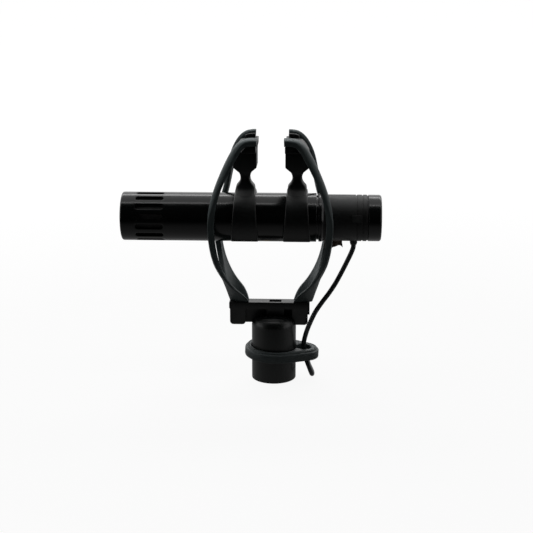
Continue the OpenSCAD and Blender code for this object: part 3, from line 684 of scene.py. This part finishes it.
def rear_sleeve():
    """Bead-textured sleeve with three grooves, the index recess and the gland's hole."""
    start, end = SLEEVE_FRONT + 0.05, CAP_FRONT - 0.05
    groove_d, groove_h = 0.35, 0.5
    places = (CAP_FRONT - 5, CAP_FRONT - 2.5)
    outer = [(SLEEVE_BORE, start), (SLEEVE_R, start)]
    radii = [0.05, 0.15]
    for x in places:
        outer += [(SLEEVE_R, x - groove_h / 2), (SLEEVE_R - groove_d, x - groove_h / 2),
                  (SLEEVE_R - groove_d, x + groove_h / 2), (SLEEVE_R, x + groove_h / 2)]
        radii += [0.1, 0.08, 0.08, 0.1]
    outer += [(SLEEVE_R, end - 0.6), (SLEEVE_R - groove_d, end - 0.6), (SLEEVE_R - groove_d, end),
              (SLEEVE_BORE, end)]
    radii += [0.1, 0.08, 0.05, 0.05]
    wall = rounded(outer, radii, 3)
    obj = make_object("mic_sleeve", mic_lathe(wall + wall[:1], 160), 30.0)
    size_x, size_z, gap = 4.4, 3.2, 0.1
    turn = Matrix.Rotation(math.radians(-10), 3, "X")

    def index_block(grow, corner, low, high):
        """Rounded plate on the front of the sleeve, a little below its middle."""
        half_x, half_z = size_x / 2 + grow, size_z / 2 + grow
        plate = prism(rounded(box_outline(-half_x, half_x, -half_z, half_z), [corner] * 4, 4), low, high)
        return moved(plate, lambda v: tuple(turn @ v + Vector((CAP_FRONT - 4.9, 0, MIC_HEIGHT))))

    recess = index_block(gap, 0.35, -SLEEVE_R - 1, -SLEEVE_R + 0.5)
    hole = solid_lathe([(GLAND_R + 0.05, -1.0), (GLAND_R + 0.05, 4.0)],
                       lambda a, b, h: (GLAND_X + a, b, MIC_HEIGHT - SLEEVE_R - 1 + h), 32)
    combined(obj, [recess, hole])
    baked(obj, 30.0)
    finish_piece(obj, MICROPHONE, "sleeve_black", SLEEVE_BLACK, "rear_sleeve")
    plate = make_object("mic_index_plate", index_block(0, 0.3, -SLEEVE_R + 0.12, -SLEEVE_R + 0.55))
    finish_piece(bevelled(plate, 0.08, 2), MICROPHONE, "index_black", INDEX_BLACK, "index_plate")


def end_cap():
    """Plug-in cap with a rounded rim and a shallow dish."""
    rim = 1.05
    dish = 0.45
    profile = rounded(
        [(0, CAP_FRONT - 3), (SLEEVE_BORE - 0.08, CAP_FRONT - 3), (SLEEVE_BORE - 0.08, CAP_FRONT - 0.6),
         (8.1, CAP_FRONT - 0.6), (8.1, CAP_FRONT + 0.02), (SLEEVE_R, CAP_FRONT + 0.02),
         (SLEEVE_R, MIC_BACK), (7.5, MIC_BACK), (7.2, MIC_BACK - dish), (0, MIC_BACK - dish)],
        [0, 0.4, 0, 0, 0, 0.2, rim, 0.25, 0.25, 0], 6)
    shell = solid_lathe(profile, lambda a, b, h: (h, a, MIC_HEIGHT + b), 128)
    obj = make_object("mic_end_cap", shell, 30.0)
    finish_piece(obj, "end_cap", "cap_black", CAP_BLACK, "end_cap")


def cable_gland():
    """Bush with a tapered sleeve where the lead leaves."""
    top = MIC_HEIGHT - SLEEVE_BORE + 1.2 - GLAND_BOTTOM
    profile = rounded([(0, 0), (1.28, 0), (GLAND_R, 0.9), (GLAND_R, top), (0, top)],
                      [0, 0.1, 0.3, 0.1, 0], 4)
    obj = make_object("mic_cable_gland", solid_lathe(
        profile, lambda a, b, h: (GLAND_X + a, b, GLAND_BOTTOM + h), 48))
    finish_piece(obj, MICROPHONE, "gland_rubber", GLAND_RUBBER, "cable_gland")


def marker_tab():
    """Worn strip of coated tape under the sleeve, its free edge curled."""
    start, length, drop, thick = 22.0, 7.4, 3.6, 0.3
    radius = SLEEVE_R + 0.1
    rows, columns = 14, 22
    rings = []
    for c in range(columns + 1):
        t = c / columns
        x = start + length * t
        ring = []
        for r in range(rows + 1):
            s = r / rows
            if s < 0.5:
                a = math.radians(-118 + 56 * s)
                ring.append(on_mic(radius, a, x))
            else:
                f = (s - 0.5) / 0.5
                wave = 0.75 * math.sin(8.5 * t + 0.6) * f + 0.4 * math.sin(17 * t) * f * f
                curl = 1.5 * f ** 3 * max(0.0, t - 0.7) * 3.3
                hang = drop * f * (0.84 + 0.16 * math.sin(6.0 * t + 0.4))
                ring.append((x + 0.25 * curl, -0.2 + wave - curl,
                             MIC_HEIGHT - radius - hang + 0.5 * curl * f))
        rings.append(ring)
    shell = loft(rings, closed=False, cap_start=False, cap_end=False)
    obj = make_object("mic_marker_tab", shell, 60.0)
    thickness = obj.modifiers.new("thickness", "SOLIDIFY")
    thickness.thickness = thick * MM
    thickness.offset = 1.0
    baked(obj, 60.0)
    finish_piece(obj, MICROPHONE, "tab_brown", TAB_BROWN, "marker_tab")


front_tube()
coupling_collar()
rear_sleeve()
end_cap()
cable_gland()
marker_tab()

# ---- lyres ----

LYRE_STATIONS = [
    [18.2, 35.3, -0.4, 2.4, 8.4, 90, 0.52], [18.9, 37.4, -0.4, 4.6, 8.2, 86, 0.55],
    [19.7, 40, -0.4, 7.2, 7.2, 80, 0.58], [20.7, 43, -0.4, 9.4, 5.2, 74, 0.62],
    [21.8, 46.4, 0, 11.3, 3.5, 66, 0.69], [23.2, 50.4, 5, 13, 2.2, 50, 0.76],
    [24.6, 55, 9.6, 14.4, 1.3, 30, 0.83], [25.8, 61, 12.2, 15.5, 0.8, 12, 0.9],
    [26.5, 68, 13.1, 16.3, 0.4, 12, 0.97], [26.5, 75, 13.1, 16.4, 0.4, 12, 0.94],
    [25.4, 82.05, 13, 16.4, 0.6, 12, 0.88], [23.2, 89.2, 12.8, 16.3, 0.9, 12, 0.8],
    [20.4, 96, 12.5, 16.2, 1.2, 12, 0.82], [17.6, 101.8, 12, 16, 1.2, 12, 0.9],
    [14.8, 106.2, 11.3, 15.8, 0.8, 12, 0.97], [11.8, 108.6, 10.8, 15.6, 0.5, 12, 0.97],
    [8.6, 109.3, 10.6, 15.5, 0.4, 12, 0.97], [5.65, 109.3, 10.5, 15.5, 0.4, 12, 0.97]]
REAR_LEAN = 3.1
LEAN_BOTTOM, LEAN_TOP = MIC_HEIGHT - 11, HOOK_HEIGHT - 5.3
SQUARE_BOTTOM, SQUARE_RISE = 60.3, 15
ROLL_BOTTOM, ROLL_RISE = 74, 10


def leaned(row):
    """Row of the rear arm, which leans in between its foot and hook."""
    share = min(1.0, max(0.0, (row[1] - LEAN_BOTTOM) / (LEAN_TOP - LEAN_BOTTOM)))
    return [row[0] - REAR_LEAN * math.sin(math.pi * share) ** 2] + row[1:]


front_run = catmull(LYRE_STATIONS, 3)
rear_run = [leaned(row) for row in front_run]


def inward(run, i):
    """Direction from the outer face inwards, level near the foot, square to the arm above."""
    a, b = run[max(0, i - 1)], run[min(len(run) - 1, i + 1)]
    slope = Vector((b[0] - a[0], b[1] - a[1])).normalized()
    k = min(1.0, max(0.0, (run[i][1] - SQUARE_BOTTOM) / SQUARE_RISE))
    return Vector((-(1 - k) - k * slope.y, k * slope.x)).normalized()


def arm_section(row, roll, near, sides=9):
    """Rounded section of an arm, as (across, depth); roll rounds off its near or far outer edge."""
    _half, _z, inner, outer, sag, sweep, share = row
    sweep = math.radians(sweep)
    thick = share * LYRE_T
    roll_w = 1.9
    face, back = [], []
    for j in range(sides):
        angle = sweep * j / (sides - 1)
        fall = sag * (1 - math.cos(angle)) / (1 - math.cos(sweep))
        across = inner + (outer - inner) * math.sin(angle) / math.sin(sweep)
        reach = max(0.0, ((inner - across if near else across - outer) + roll_w) / roll_w)
        rolled = roll * (1 - math.sqrt(1 - min(1.0, reach) ** 2))
        face.append((across, fall + rolled))
        back.append((across - thick * math.sin(angle), fall + thick * math.cos(angle)))
    span = min((Vector(face[1]) - Vector(face[0])).length, (Vector(face[-1]) - Vector(face[-2])).length,
               (Vector(back[-1]) - Vector(back[-2])).length, thick / 2, (thick - roll) / 2)
    ease = min(0.7, 0.95 * span)
    radii = [ease] + [0] * (sides - 2) + [ease] + [ease] + [0] * (sides - 2) + [ease]
    return rounded(face + back[::-1], radii, 3)


def lyre_arm(run, side, flip, end):
    """One arm from the foot to the end of its hook, on the front or the rear side."""
    rings = []
    for i, row in enumerate(run):
        half, z = row[:2]
        way = inward(run, i)
        steep = abs(way.x)
        risen = min(1.0, max(0.0, (z - ROLL_BOTTOM) / ROLL_RISE))
        roll = (0.45 + (1.3 if flip > 0 else 0.8) * steep) * risen * row[6]
        foot = max(half, end)
        rings.append([(MOUNT_MID + side * (foot + way.x * depth), flip * across, z + way.y * depth)
                      for across, depth in arm_section(row, roll, flip > 0)])
        if z > HOOK_BOTTOM and half <= end:
            break
    return loft(rings)


def lyre(name, node_name, side):
    """Front and rear arm and the tenon that stands in the bar."""
    wide, deep, tall = 5.0, 2.4, 5.8
    middle = MOUNT_MID + side * TENON_X
    tenon = prism(box_outline(middle - wide / 2, middle + wide / 2, BAR_TOP - tall, BAR_TOP + 1.2),
                  -deep / 2, deep / 2)
    arms = [lyre_arm(rear_run, side, 1, REAR_HOOK_END), lyre_arm(front_run, side, -1, 0)]
    obj = make_object(name, joined(*arms, tenon), 50.0)
    obj.data.materials.append(LYRE_GREY)
    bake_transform(obj)
    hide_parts(node_name)


lyre("left_lyre", "lyre_left", -1)
lyre("right_lyre", "lyre_right", 1)

# ---- clips ----


def clip_band(x_mid):
    """Open band round the tube, wider towards its lips, with eased edges."""
    rings = []
    steps = 72
    low, high = -45.0, 225.0
    narrow, flare = 4.1, 2.0
    crown, drop = 16.45, 28.9
    outer_r = CLIP_BORE + CLIP_WALL
    for i in range(steps + 1):
        angle = math.radians(low + (high - low) * i / steps)
        height = outer_r * math.sin(angle)
        half = narrow + (crown - height) / drop * flare
        section = rounded(box_outline(-half, half, CLIP_BORE, outer_r), [0.25, 0.25, 0.55, 0.55], 4)
        rings.append([on_mic(r, angle, x_mid + x) for x, r in section])
    return loft(rings)


def hook_line(depth):
    """Line at a depth below the hook's outer face, from its shoulder to its end."""
    line = []
    for i in range(len(front_run) - 13, len(front_run)):
        way = inward(front_run, i) * depth(front_run[i])
        line.append((front_run[i][0] + way.x, front_run[i][1] + way.y))
    return line


def stretch(line, low, high):
    """The part of a line between two distances from the middle, outer end first."""
    def height(x):
        for (xa, za), (xb, zb) in zip(line, line[1:]):
            if xb <= x <= xa:
                return za + (zb - za) * (xa - x) / (xa - xb)
        return line[-1][1]

    return [(high, height(high))] + [p for p in line if low < p[0] < high] + [(low, height(low))]


def hanger_solid(side, outline, low, high):
    """Solid over or under a clip, its outline given as distance from the middle and height."""
    return prism([(MOUNT_MID + side * x, z) for x, z in outline], low, high)


def hanger_block(side):
    """Block between the arms, its lower corners bevelled."""
    low, high = CLIP_SPACING / 2 - BLOCK_HALF, CLIP_SPACING / 2 + BLOCK_HALF
    bevel_w, bevel_h = BLOCK_HALF - 2.4, 2.2
    skin = [(x, min(z, HOOK_BOTTOM - 0.05)) for x, z in hook_line(lambda row: SKIN_INSET)]
    outline = [(low, BLOCK_BOTTOM + bevel_h), (low + bevel_w, BLOCK_BOTTOM),
               (high - bevel_w, BLOCK_BOTTOM), (high, BLOCK_BOTTOM + bevel_h)]
    outline += stretch(skin, low, high)
    return hanger_solid(side, outline, -BLOCK_DEPTH, BLOCK_DEPTH)


def hanger_crossbar(side):
    """Bar across the block that the front and rear hooks sit on."""
    low = CLIP_SPACING / 2 - BLOCK_HALF
    foot = HOOK_BOTTOM - CROSSBAR_H
    line = hook_line(lambda row: LYRE_T * row[6] + row[4] + 0.05)
    under = [(x, max(z, foot)) for x, z in line]
    outline = [(low, foot)] + stretch(under, low, low + CROSSBAR_W)
    return hanger_solid(side, outline, -CROSSBAR_DEPTH, CROSSBAR_DEPTH)


def hanger_stop(side, flip):
    """Raised stop that keeps a hook from sliding inwards."""
    top = HOOK_HEIGHT - 0.9
    skin = [(x, min(z, top)) for x, z in hook_line(lambda row: SKIN_INSET)]
    foot = HOOK_BOTTOM - 1
    outline = [(REAR_HOOK_END, foot), (REAR_HOOK_END + STOP_W, foot)]
    outline += stretch(skin, REAR_HOOK_END, REAR_HOOK_END + STOP_W)
    return hanger_solid(side, outline, flip * STOP_INNER, flip * STOP_OUTER)


def neck_shell(x_mid):
    """Waisted neck that grows out of the clip and widens again under the block."""
    rows = [(81.6, 4.1, 8.4), (82.8, 4.1, 7.4), (83.8, 4.1, 6.4), (84.7, 4.1, 5.3), (85.5, 4.1, 4.4),
            (86.3, 4.05, 3.8), (87.1, 3.85, 3.4), (87.9, 3.2, 3.15), (88.7, 2.6, 3.0),
            (89.6, 2.2, 2.9), (90.8, 2.05, 2.85), (91.9, 2.2, 2.9), (92.9, 2.6, 3.1), (93.6, 3.0, 3.4),
            (94.4, 3.2, 3.5)]
    rings = []
    for z, half_x, half_y in rows:
        outline = rounded(box_outline(-half_x, half_x, -half_y, half_y), [1.0] * 4, 5)
        rings.append([(x_mid + x, y, z) for x, y in outline])
    return loft(rings)


def clip(name, node_name, side):
    """One clip with its neck, block, crossbar and stops."""
    x_mid = MOUNT_MID + side * CLIP_SPACING / 2
    shells = [hanger_block(side), hanger_crossbar(side), hanger_stop(side, 1), hanger_stop(side, -1)]
    parts = [bevelled(make_object(name, shells[0]), 0.6, 3, 30.0)]
    parts += [bevelled(make_object(f"{name}_{i}", shell), 0.4, 3, 30.0)
              for i, shell in enumerate(shells[1:])]
    band_obj = make_object(name + "_band", joined(clip_band(x_mid), neck_shell(x_mid)), 35.0)
    combined(band_obj, [solid_lathe([(CLIP_BORE - 0.02, -8), (CLIP_BORE - 0.02, 8)],
                                    lambda a, b, h: (x_mid + h, a, MIC_HEIGHT + b), 160)])
    parts.append(band_obj)
    merged = bmesh.new()
    for part in parts:
        merged.from_mesh(part.data)
    obj = parts[0]
    merged.to_mesh(obj.data)
    merged.free()
    for part in parts[1:]:
        bpy.data.objects.remove(part)
    smoothed(obj.data, 40.0)
    finish_piece(obj, MICROPHONE, "clip_black", CLIP_BLACK, node_name)


clip("left_clip", "clip_left", -1)
clip("right_clip", "clip_right", 1)

# ---- base bar, stem and ring ----


def base_bar():
    """Moulded bar: flange, two ears, middle web and a thin back wall."""
    left, right = BAR_MID - BAR_HALF, BAR_MID + BAR_HALF
    deep, shallow = 2.85, 2.6
    flange_low = 32.3
    ear_top = flange_low + 0.5
    flange = rounded(box_outline(left, right, flange_low, BAR_TOP), [0.5, 0.5, 0.25, 0.25], 3)
    shells = [prism(flange, -deep, deep),
              prism(box_outline(left + 2, right - 2, EAR_BOTTOM, ear_top), 1.1, shallow)]
    for x0, x1 in ((left + 0.3, left + 7.2), (right - 7.2, right - 0.3)):
        ear = rounded(box_outline(x0, x1, EAR_BOTTOM, ear_top), [1.5, 1.5, 0, 0], 5)
        shells.append(prism(ear, -shallow + 0.35, shallow))
    web = BAR_MID + 2.85
    shells.append(prism(box_outline(web - 3.85, web + 3.85, EAR_BOTTOM, ear_top), -shallow, shallow))
    shells.append(prism(rounded(box_outline(web - 3.3, web + 3.3, 31.7, 33.5), [0.3, 0.3, 0, 0], 3),
                        -deep + 0.02, -1.5))
    obj = combined(make_object("bar", shells[0]), shells[1:], "UNION")
    window = rounded(box_outline(web - 2.65, web + 2.65, -1.55, 1.55), [0.3] * 4, 3)
    cuts = [prism(window, BAR_TOP - 2, BAR_TOP + 1, "z")]
    for x in (MOUNT_MID - TENON_X, MOUNT_MID + TENON_X):
        cuts.append(prism(box_outline(x - 2.55, x + 2.55, -1.25, 1.25), BAR_TOP - 5.9, BAR_TOP + 1, "z"))
    combined(obj, cuts)
    bevelled(obj, 0.28, 3, 40.0)
    finish_piece(obj, HOLDER, "bar_black", BAR_BLACK, "base_bar")


def stem():
    """Domed stem, slotted for the bar, with a threaded socket below."""
    dome = 4.3
    recess_r, recess_top = 3.0, 16.5
    profile = rounded(
        [(0, STEM_TOP), (STEM_R, STEM_TOP), (STEM_R, 0), (SOCKET_R, 0), (SOCKET_R, SOCKET_DEPTH),
         (recess_r, SOCKET_DEPTH), (recess_r, recess_top), (0, recess_top)],
        [0, dome, 0.3, 0, 0, 0.1, 0, 0], 10)
    shell = solid_lathe(profile, lambda a, b, h: (a, b, h), 144)
    obj = make_object("stand_stem", shell, 35.0)
    slot_half = 2.9
    combined(obj, [prism(box_outline(-14, 14, -slot_half, slot_half), EAR_BOTTOM, STEM_TOP + 2, "z")])
    bevelled(obj, 0.22, 2, 45.0)
    finish_piece(obj, HOLDER, "stem_black", STEM_BLACK, "stem")


def socket_thread():
    """Helical thread form lining the stand socket."""
    pitch, depth, segments = 25.4 / 27, 0.42, 72
    rings = []
    turns = (SOCKET_DEPTH - 1.2) / pitch
    steps = int(turns * segments)
    for i in range(steps + 1):
        a = 2 * math.pi * i / segments
        z = 0.35 + pitch * i / segments
        crest = SOCKET_R - 0.02
        root = SOCKET_R + depth
        ring = []
        for r, share in ((root, -0.45), (crest, -0.1), (crest, 0.1), (root, 0.45)):
            ring.append((r * math.cos(a), r * math.sin(a), max(0.05, z + pitch * share)))
        rings.append(ring)
    obj = make_object("stand_thread", loft(rings), 30.0)
    finish_piece(obj, HOLDER, "screw_steel", THREAD_BRASS)


def ring_outline(main, lobe, steps=96):
    """Outline of two circles joined by tangents, with a fixed number of points."""
    lean = math.acos((main - lobe) / LOBE_X)
    points = []
    big = int(steps * 0.6)
    for k in range(big + 1):
        a = lean + (2 * math.pi - 2 * lean) * k / big
        points.append((main * math.cos(a), main * math.sin(a)))
    small = steps - big
    for k in range(small + 1):
        a = -lean + 2 * lean * k / small
        points.append((LOBE_X + lobe * math.cos(a), lobe * math.sin(a)))
    return points


def cable_ring():
    """Rubber ring with a stepped top and a lobe for the lead."""
    half = RING_HALF
    rows = [(0.9, -half), (0.45, -half + 0.06), (0.12, -half + 0.3), (0, -half + 0.7), (0, half - 1.35),
            (0.1, half - 1.05), (0.32, half - 0.82), (0.6, half - 0.74), (0.8, half - 0.72),
            (0.86, half - 0.6), (0.9, half - 0.3), (1.0, half - 0.1), (1.15, half), (1.35, half),
            (1.42, half - 0.1), (1.45, half - 0.35), (1.62, half - 0.4), (1.68, half - 0.1), (1.75, half)]
    tilt = Matrix.Rotation(math.radians(RING_TILT), 3, "Y")

    def put(x, y, z):
        return tuple(tilt @ Vector((x, y, z)) + Vector((0, 0, RING_HEIGHT)))

    ring_r, ring_bore = 12.8, 10.05
    lobe_r, lobe_bore = 6.9, 3.5
    rings = [[put(x, y, z) for x, y in ring_outline(ring_r - inset, lobe_r - inset)]
             for inset, z in rows]
    obj = make_object("stem_ring", loft(rings), 40.0)

    def hole(radius, x):
        profile = [(radius + 0.9, -half - 0.5), (radius + 0.5, -half - 0.05), (radius + 0.2, -half + 0.12),
                   (radius, -half + 0.5), (radius, half - 0.5), (radius + 0.15, half - 0.15),
                   (radius + 0.5, half + 0.03), (radius + 0.9, half + 0.5)]
        return solid_lathe(profile, lambda a, b, h: put(x + a, b, h), 96)

    combined(obj, [hole(ring_bore, 0), hole(lobe_bore, LOBE_X)])
    baked(obj, 40.0)
    finish_piece(obj, "cable_ring", "ring_rubber", RING_RUBBER, "cable_ring")


base_bar()
stem()
socket_thread()
cable_ring()

# ---- lead, tie and plug ----


def evenly(points, spacing):
    """A smooth line through the points, resampled at even spacing."""
    dense = [Vector(p) for p in catmull(points, 12)]
    line = [dense[0]]
    carry = 0.0
    for a, b in zip(dense, dense[1:]):
        step = (b - a).length
        while carry + step >= spacing:
            t = (spacing - carry) / step
            a = a + (b - a) * t
            line.append(a.copy())
            step = (b - a).length
            carry = 0.0
        carry += step
    line.append(dense[-1])
    return line


def round_cord(line, radius, sides=16):
    """Tube round a line, its sides carried along without twisting."""
    rings = []
    side = Vector((0, 1, 0))
    for i, point in enumerate(line):
        a, b = line[max(0, i - 1)], line[min(len(line) - 1, i + 1)]
        along = (b - a).normalized()
        side = (side - along * side.dot(along)).normalized()
        other = along.cross(side)
        rings.append([tuple(point + (side * math.cos(2 * math.pi * k / sides)
                                     + other * math.sin(2 * math.pi * k / sides)) * radius)
                      for k in range(sides)])
    return loft(rings)


def plug_way():
    """End of the last half turn, up over the hank and into the plug's relief."""
    return [[6.2, 26.8, 3.8], [5.2, 23.2, 4.9], [2.9, 20.6, 6.2], [0.1, 20.0, 7.4],
            [-1.9, 21.2, 8.4], [-2.6, 23.4, 8.8], [-2.6, 25.0, 8.8]]


lead_points = evenly(LEAD_ROUTE + hank_route() + plug_way(), 0.8)


def hank_tie():
    """Flat strap closed round the waist of the hank."""
    half, tall, wide, thick = 3.4, 4.8, 6.0, 0.6
    through = 10
    outer = rounded(box_outline(-half - thick, half + thick, 0, tall), [0.2, 0.2, 1.2, 1.2], 4)
    inner = rounded(box_outline(-half, half, thick, tall - thick), [0.1, 0.1, 0.7, 0.7], 4)
    shell = prism(outer, HANK_MID - wide / 2, HANK_MID + wide / 2)
    obj = make_object("lead_tie", shell)
    combined(obj, [prism(inner, HANK_MID - through, HANK_MID + through)])
    bevelled(obj, 0.15, 2, 45.0)
    finish_piece(obj, HOLDER, "tie_black", TIE_BLACK, "hank_tie")
    return obj


def plug():
    """Moulded plug body with a ribbed relief, and its contacts."""
    relief, body = 6.0, 19.0
    radius = 4.0
    profile = [(0, 0), (1.3, 0)]
    for k in range(5):
        start = 0.5 + k * 1.1
        grow = 1.35 + 0.5 * k / 5
        profile += [(grow + 0.18, start), (grow + 0.18, start + 0.6), (grow, start + 0.65),
                    (grow, start + 1.05)]
    waist = radius - 0.35
    profile += rounded([(2.2, relief), (radius, relief), (radius, relief + 12.5), (waist, relief + 12.8),
                        (waist, relief + 13.6), (radius, relief + 13.9), (radius, relief + body),
                        (0, relief + body)], [0, 0.8, 0.1, 0.1, 0.1, 0.1, 0.6, 0], 4)

    def place(a, b, h):
        return (PLUG_X + a, PLUG_BACK + h, PLUG_Z + b)

    sleeve = make_object("lead_plug", solid_lathe(profile, place, 64), 40.0)
    finish_piece(sleeve, HOLDER, "plug_black", PLUG_BLACK, "plug_sleeve")
    r = 1.75
    tip = [(0, 0), (r + 0.8, 0), (r + 0.8, 0.7), (r, 0.8)]
    for groove in (5.0, 8.0):
        tip += [(r, groove), (r - 0.1, groove + 0.05), (r - 0.1, groove + 0.35), (r, groove + 0.4)]
    tip += [(r, 10.6), (r - 0.35, 11.2), (r - 0.4, 11.5), (r - 0.1, 12.1), (r - 0.5, 13.1), (0.5, 13.9),
            (0, 14.0)]
    pin = make_object("lead_plug_contacts", solid_lathe(
        tip, lambda a, b, h: place(a, b, h + relief + body), 48), 40.0)
    finish_piece(pin, HOLDER, "plug_gold", PLUG_GOLD, "plug_pin")
    return sleeve, pin


def lead():
    """The whole lead with its tie and plug."""
    obj = make_object("lead", round_cord(lead_points, CORD_R), 60.0)
    obj.data.materials.append(LEAD_GREY)
    tie = hank_tie()
    sleeve, pin = plug()
    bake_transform(obj)
    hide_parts("cord_tube", "cord_hank")


lead()

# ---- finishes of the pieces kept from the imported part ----

NODE_FINISHES = {
    "front_grille": GRILLE_DARK, "slot_mesh": MESH_DARK, "capsule_housing": CAPSULE_BRASS,
    "diaphragm_ring": FILM_GOLD, "diaphragm": FILM_GOLD, "backplate": CAPSULE_BRASS,
    "capsule_insulator": INSULATOR_WHITE, "capsule_contact": FILM_GOLD, "capsule_retainer": RETAINER_GREY,
    "circuit_board": BOARD_GREEN, "board_components": COMPONENT_BLACK, "board_holders": HOLDER_GREY,
    "cap_seal": SEAL_RUBBER, "hanger_pins": PIN_STEEL, "bar_screw": SCREW_STEEL,
    "screw_washer": SCREW_STEEL}


def finish_kept_nodes():
    """Gives each of them its own finish."""
    for name, material in NODE_FINISHES.items():
        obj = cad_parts[name]
        obj.data.materials.clear()
        obj.data.materials.append(material)


finish_kept_nodes()

# ---- floor, backdrop and light ----

LIGHT_HEIGHT = 0.073


def floor_white():
    """White floor that keeps shadow, lifted where the camera, gloss or glass look at it."""
    material, tree = blank_material("floor_white")
    tree.nodes.clear()
    place = node(tree, "ShaderNodeTexCoord").outputs["Object"]
    depth = node(tree, "ShaderNodeSeparateXYZ", {"Vector": place}).outputs["Y"]
    reach = node(tree, "ShaderNodeVectorMath", {0: place}, operation="LENGTH").outputs["Value"]
    path = node(tree, "ShaderNodeLightPath").outputs
    clear = math_node(tree, "MAXIMUM", path["Is Camera Ray"], path["Is Transmission Ray"])
    seen = math_node(tree, "MULTIPLY", clear, ranged(tree, reach, 0.15, 0.7, 0.92, 1.0))
    gloss = math_node(tree, "MULTIPLY", path["Is Glossy Ray"], ranged(tree, depth, -0.2, 0.35, 0.0, 0.6))
    glow = node(tree, "ShaderNodeEmission", {"Strength": math_node(tree, "ADD", seen, gloss)})
    diffuse = node(tree, "ShaderNodeBsdfDiffuse", {"Color": rgba(0.09)})
    both = node(tree, "ShaderNodeAddShader", {0: diffuse.outputs[0], 1: glow.outputs[0]})
    node(tree, "ShaderNodeOutputMaterial", {"Surface": both.outputs[0]})
    return material


def sheet(name, verts, faces, material):
    """Thin screen or floor."""
    mesh = bpy.data.meshes.new(name)
    mesh.from_pydata(verts, [], faces)
    mesh.materials.append(material)
    return placed(name, mesh)


def studio_floor():
    """Floor that runs back to the horizon from just in front of the part."""
    half, front, back, level = 3.0, -0.27, 3.0, -0.0004
    corners = [(x, y, level) for x, y in box_outline(-half, half, front, back)]
    return sheet("floor", corners, [(0, 1, 2, 3)], floor_white())


def front_flag():
    """Unseen black screen round the camera's side, which keeps glossy sides dark."""
    steps, radius, half = 24, 1.1, 1.6
    low, high = -26, 74
    verts = []
    for i in range(steps + 1):
        a = math.radians(low + (high - low) * i / steps)
        verts += [(x, -radius * math.cos(a), LIGHT_HEIGHT + radius * math.sin(a)) for x in (-half, half)]
    black, tree = blank_material("flag_black")
    shader = tree.nodes["Principled BSDF"]
    shader.inputs["Base Color"].default_value = rgba(0.02)
    shader.inputs["Specular IOR Level"].default_value = 0.0
    faces = [(2 * i, 2 * i + 1, 2 * i + 3, 2 * i + 2) for i in range(steps)]
    flag = sheet("front_flag", verts, faces, black)
    flag.visible_camera = False
    flag.visible_shadow = False
    return flag


def studio_world(level):
    """World at a low level that reads as white to the camera, gloss and glass."""
    world = bpy.data.worlds.new("studio")
    bpy.context.scene.world = world
    world.use_nodes = True
    tree = world.node_tree
    path = node(tree, "ShaderNodeLightPath").outputs
    seen = math_node(tree, "MAXIMUM", path["Is Camera Ray"], path["Is Glossy Ray"])
    seen = math_node(tree, "MAXIMUM", seen, path["Is Transmission Ray"])
    background = tree.nodes["Background"]
    feed(tree, background.inputs["Strength"], math_node(tree, "MULTIPLY_ADD", seen, 1.0 - level, level))
    background.inputs["Color"].default_value = rgba(1.0)


def softbox(name, elevation, reach, width, depth, radiance, glossy=True, shift=0.0):
    """Rectangular lamp over the microphone, its elevation measured from the rear horizon."""
    data = bpy.data.lights.new(name, "AREA")
    data.shape = "RECTANGLE"
    data.size, data.size_y = width, depth
    data.energy = radiance * math.pi * width * depth
    lamp = placed(name, data)
    centre = Vector((0.0, 0.0, LIGHT_HEIGHT))
    a = math.radians(elevation)
    lamp.location = centre + Vector((0.0, math.cos(a), math.sin(a))) * reach + Vector((shift, 0.0, 0.0))
    lamp.rotation_euler = (centre - lamp.location).to_track_quat("-Z", "Y").to_euler()
    lamp.visible_camera = False
    lamp.visible_glossy = glossy


def studio():
    """Floor, screen, world and lamps."""
    studio_floor()
    front_flag()
    studio_world(0.02)
    softbox("rear_box", 47.0, 1.0, 1.6, 0.2, 3.6)
    softbox("zenith_strip", 102.0, 0.95, 1.6, 0.055, 3.6)
    softbox("overhead_box", 72.0, 1.0, 1.3, 0.8, 1.25, glossy=False, shift=-0.45)
    softbox("front_fill", 150.0, 1.0, 0.8, 0.6, 0.15, glossy=False)


studio()
bpy.context.scene.view_settings.view_transform = "Standard"
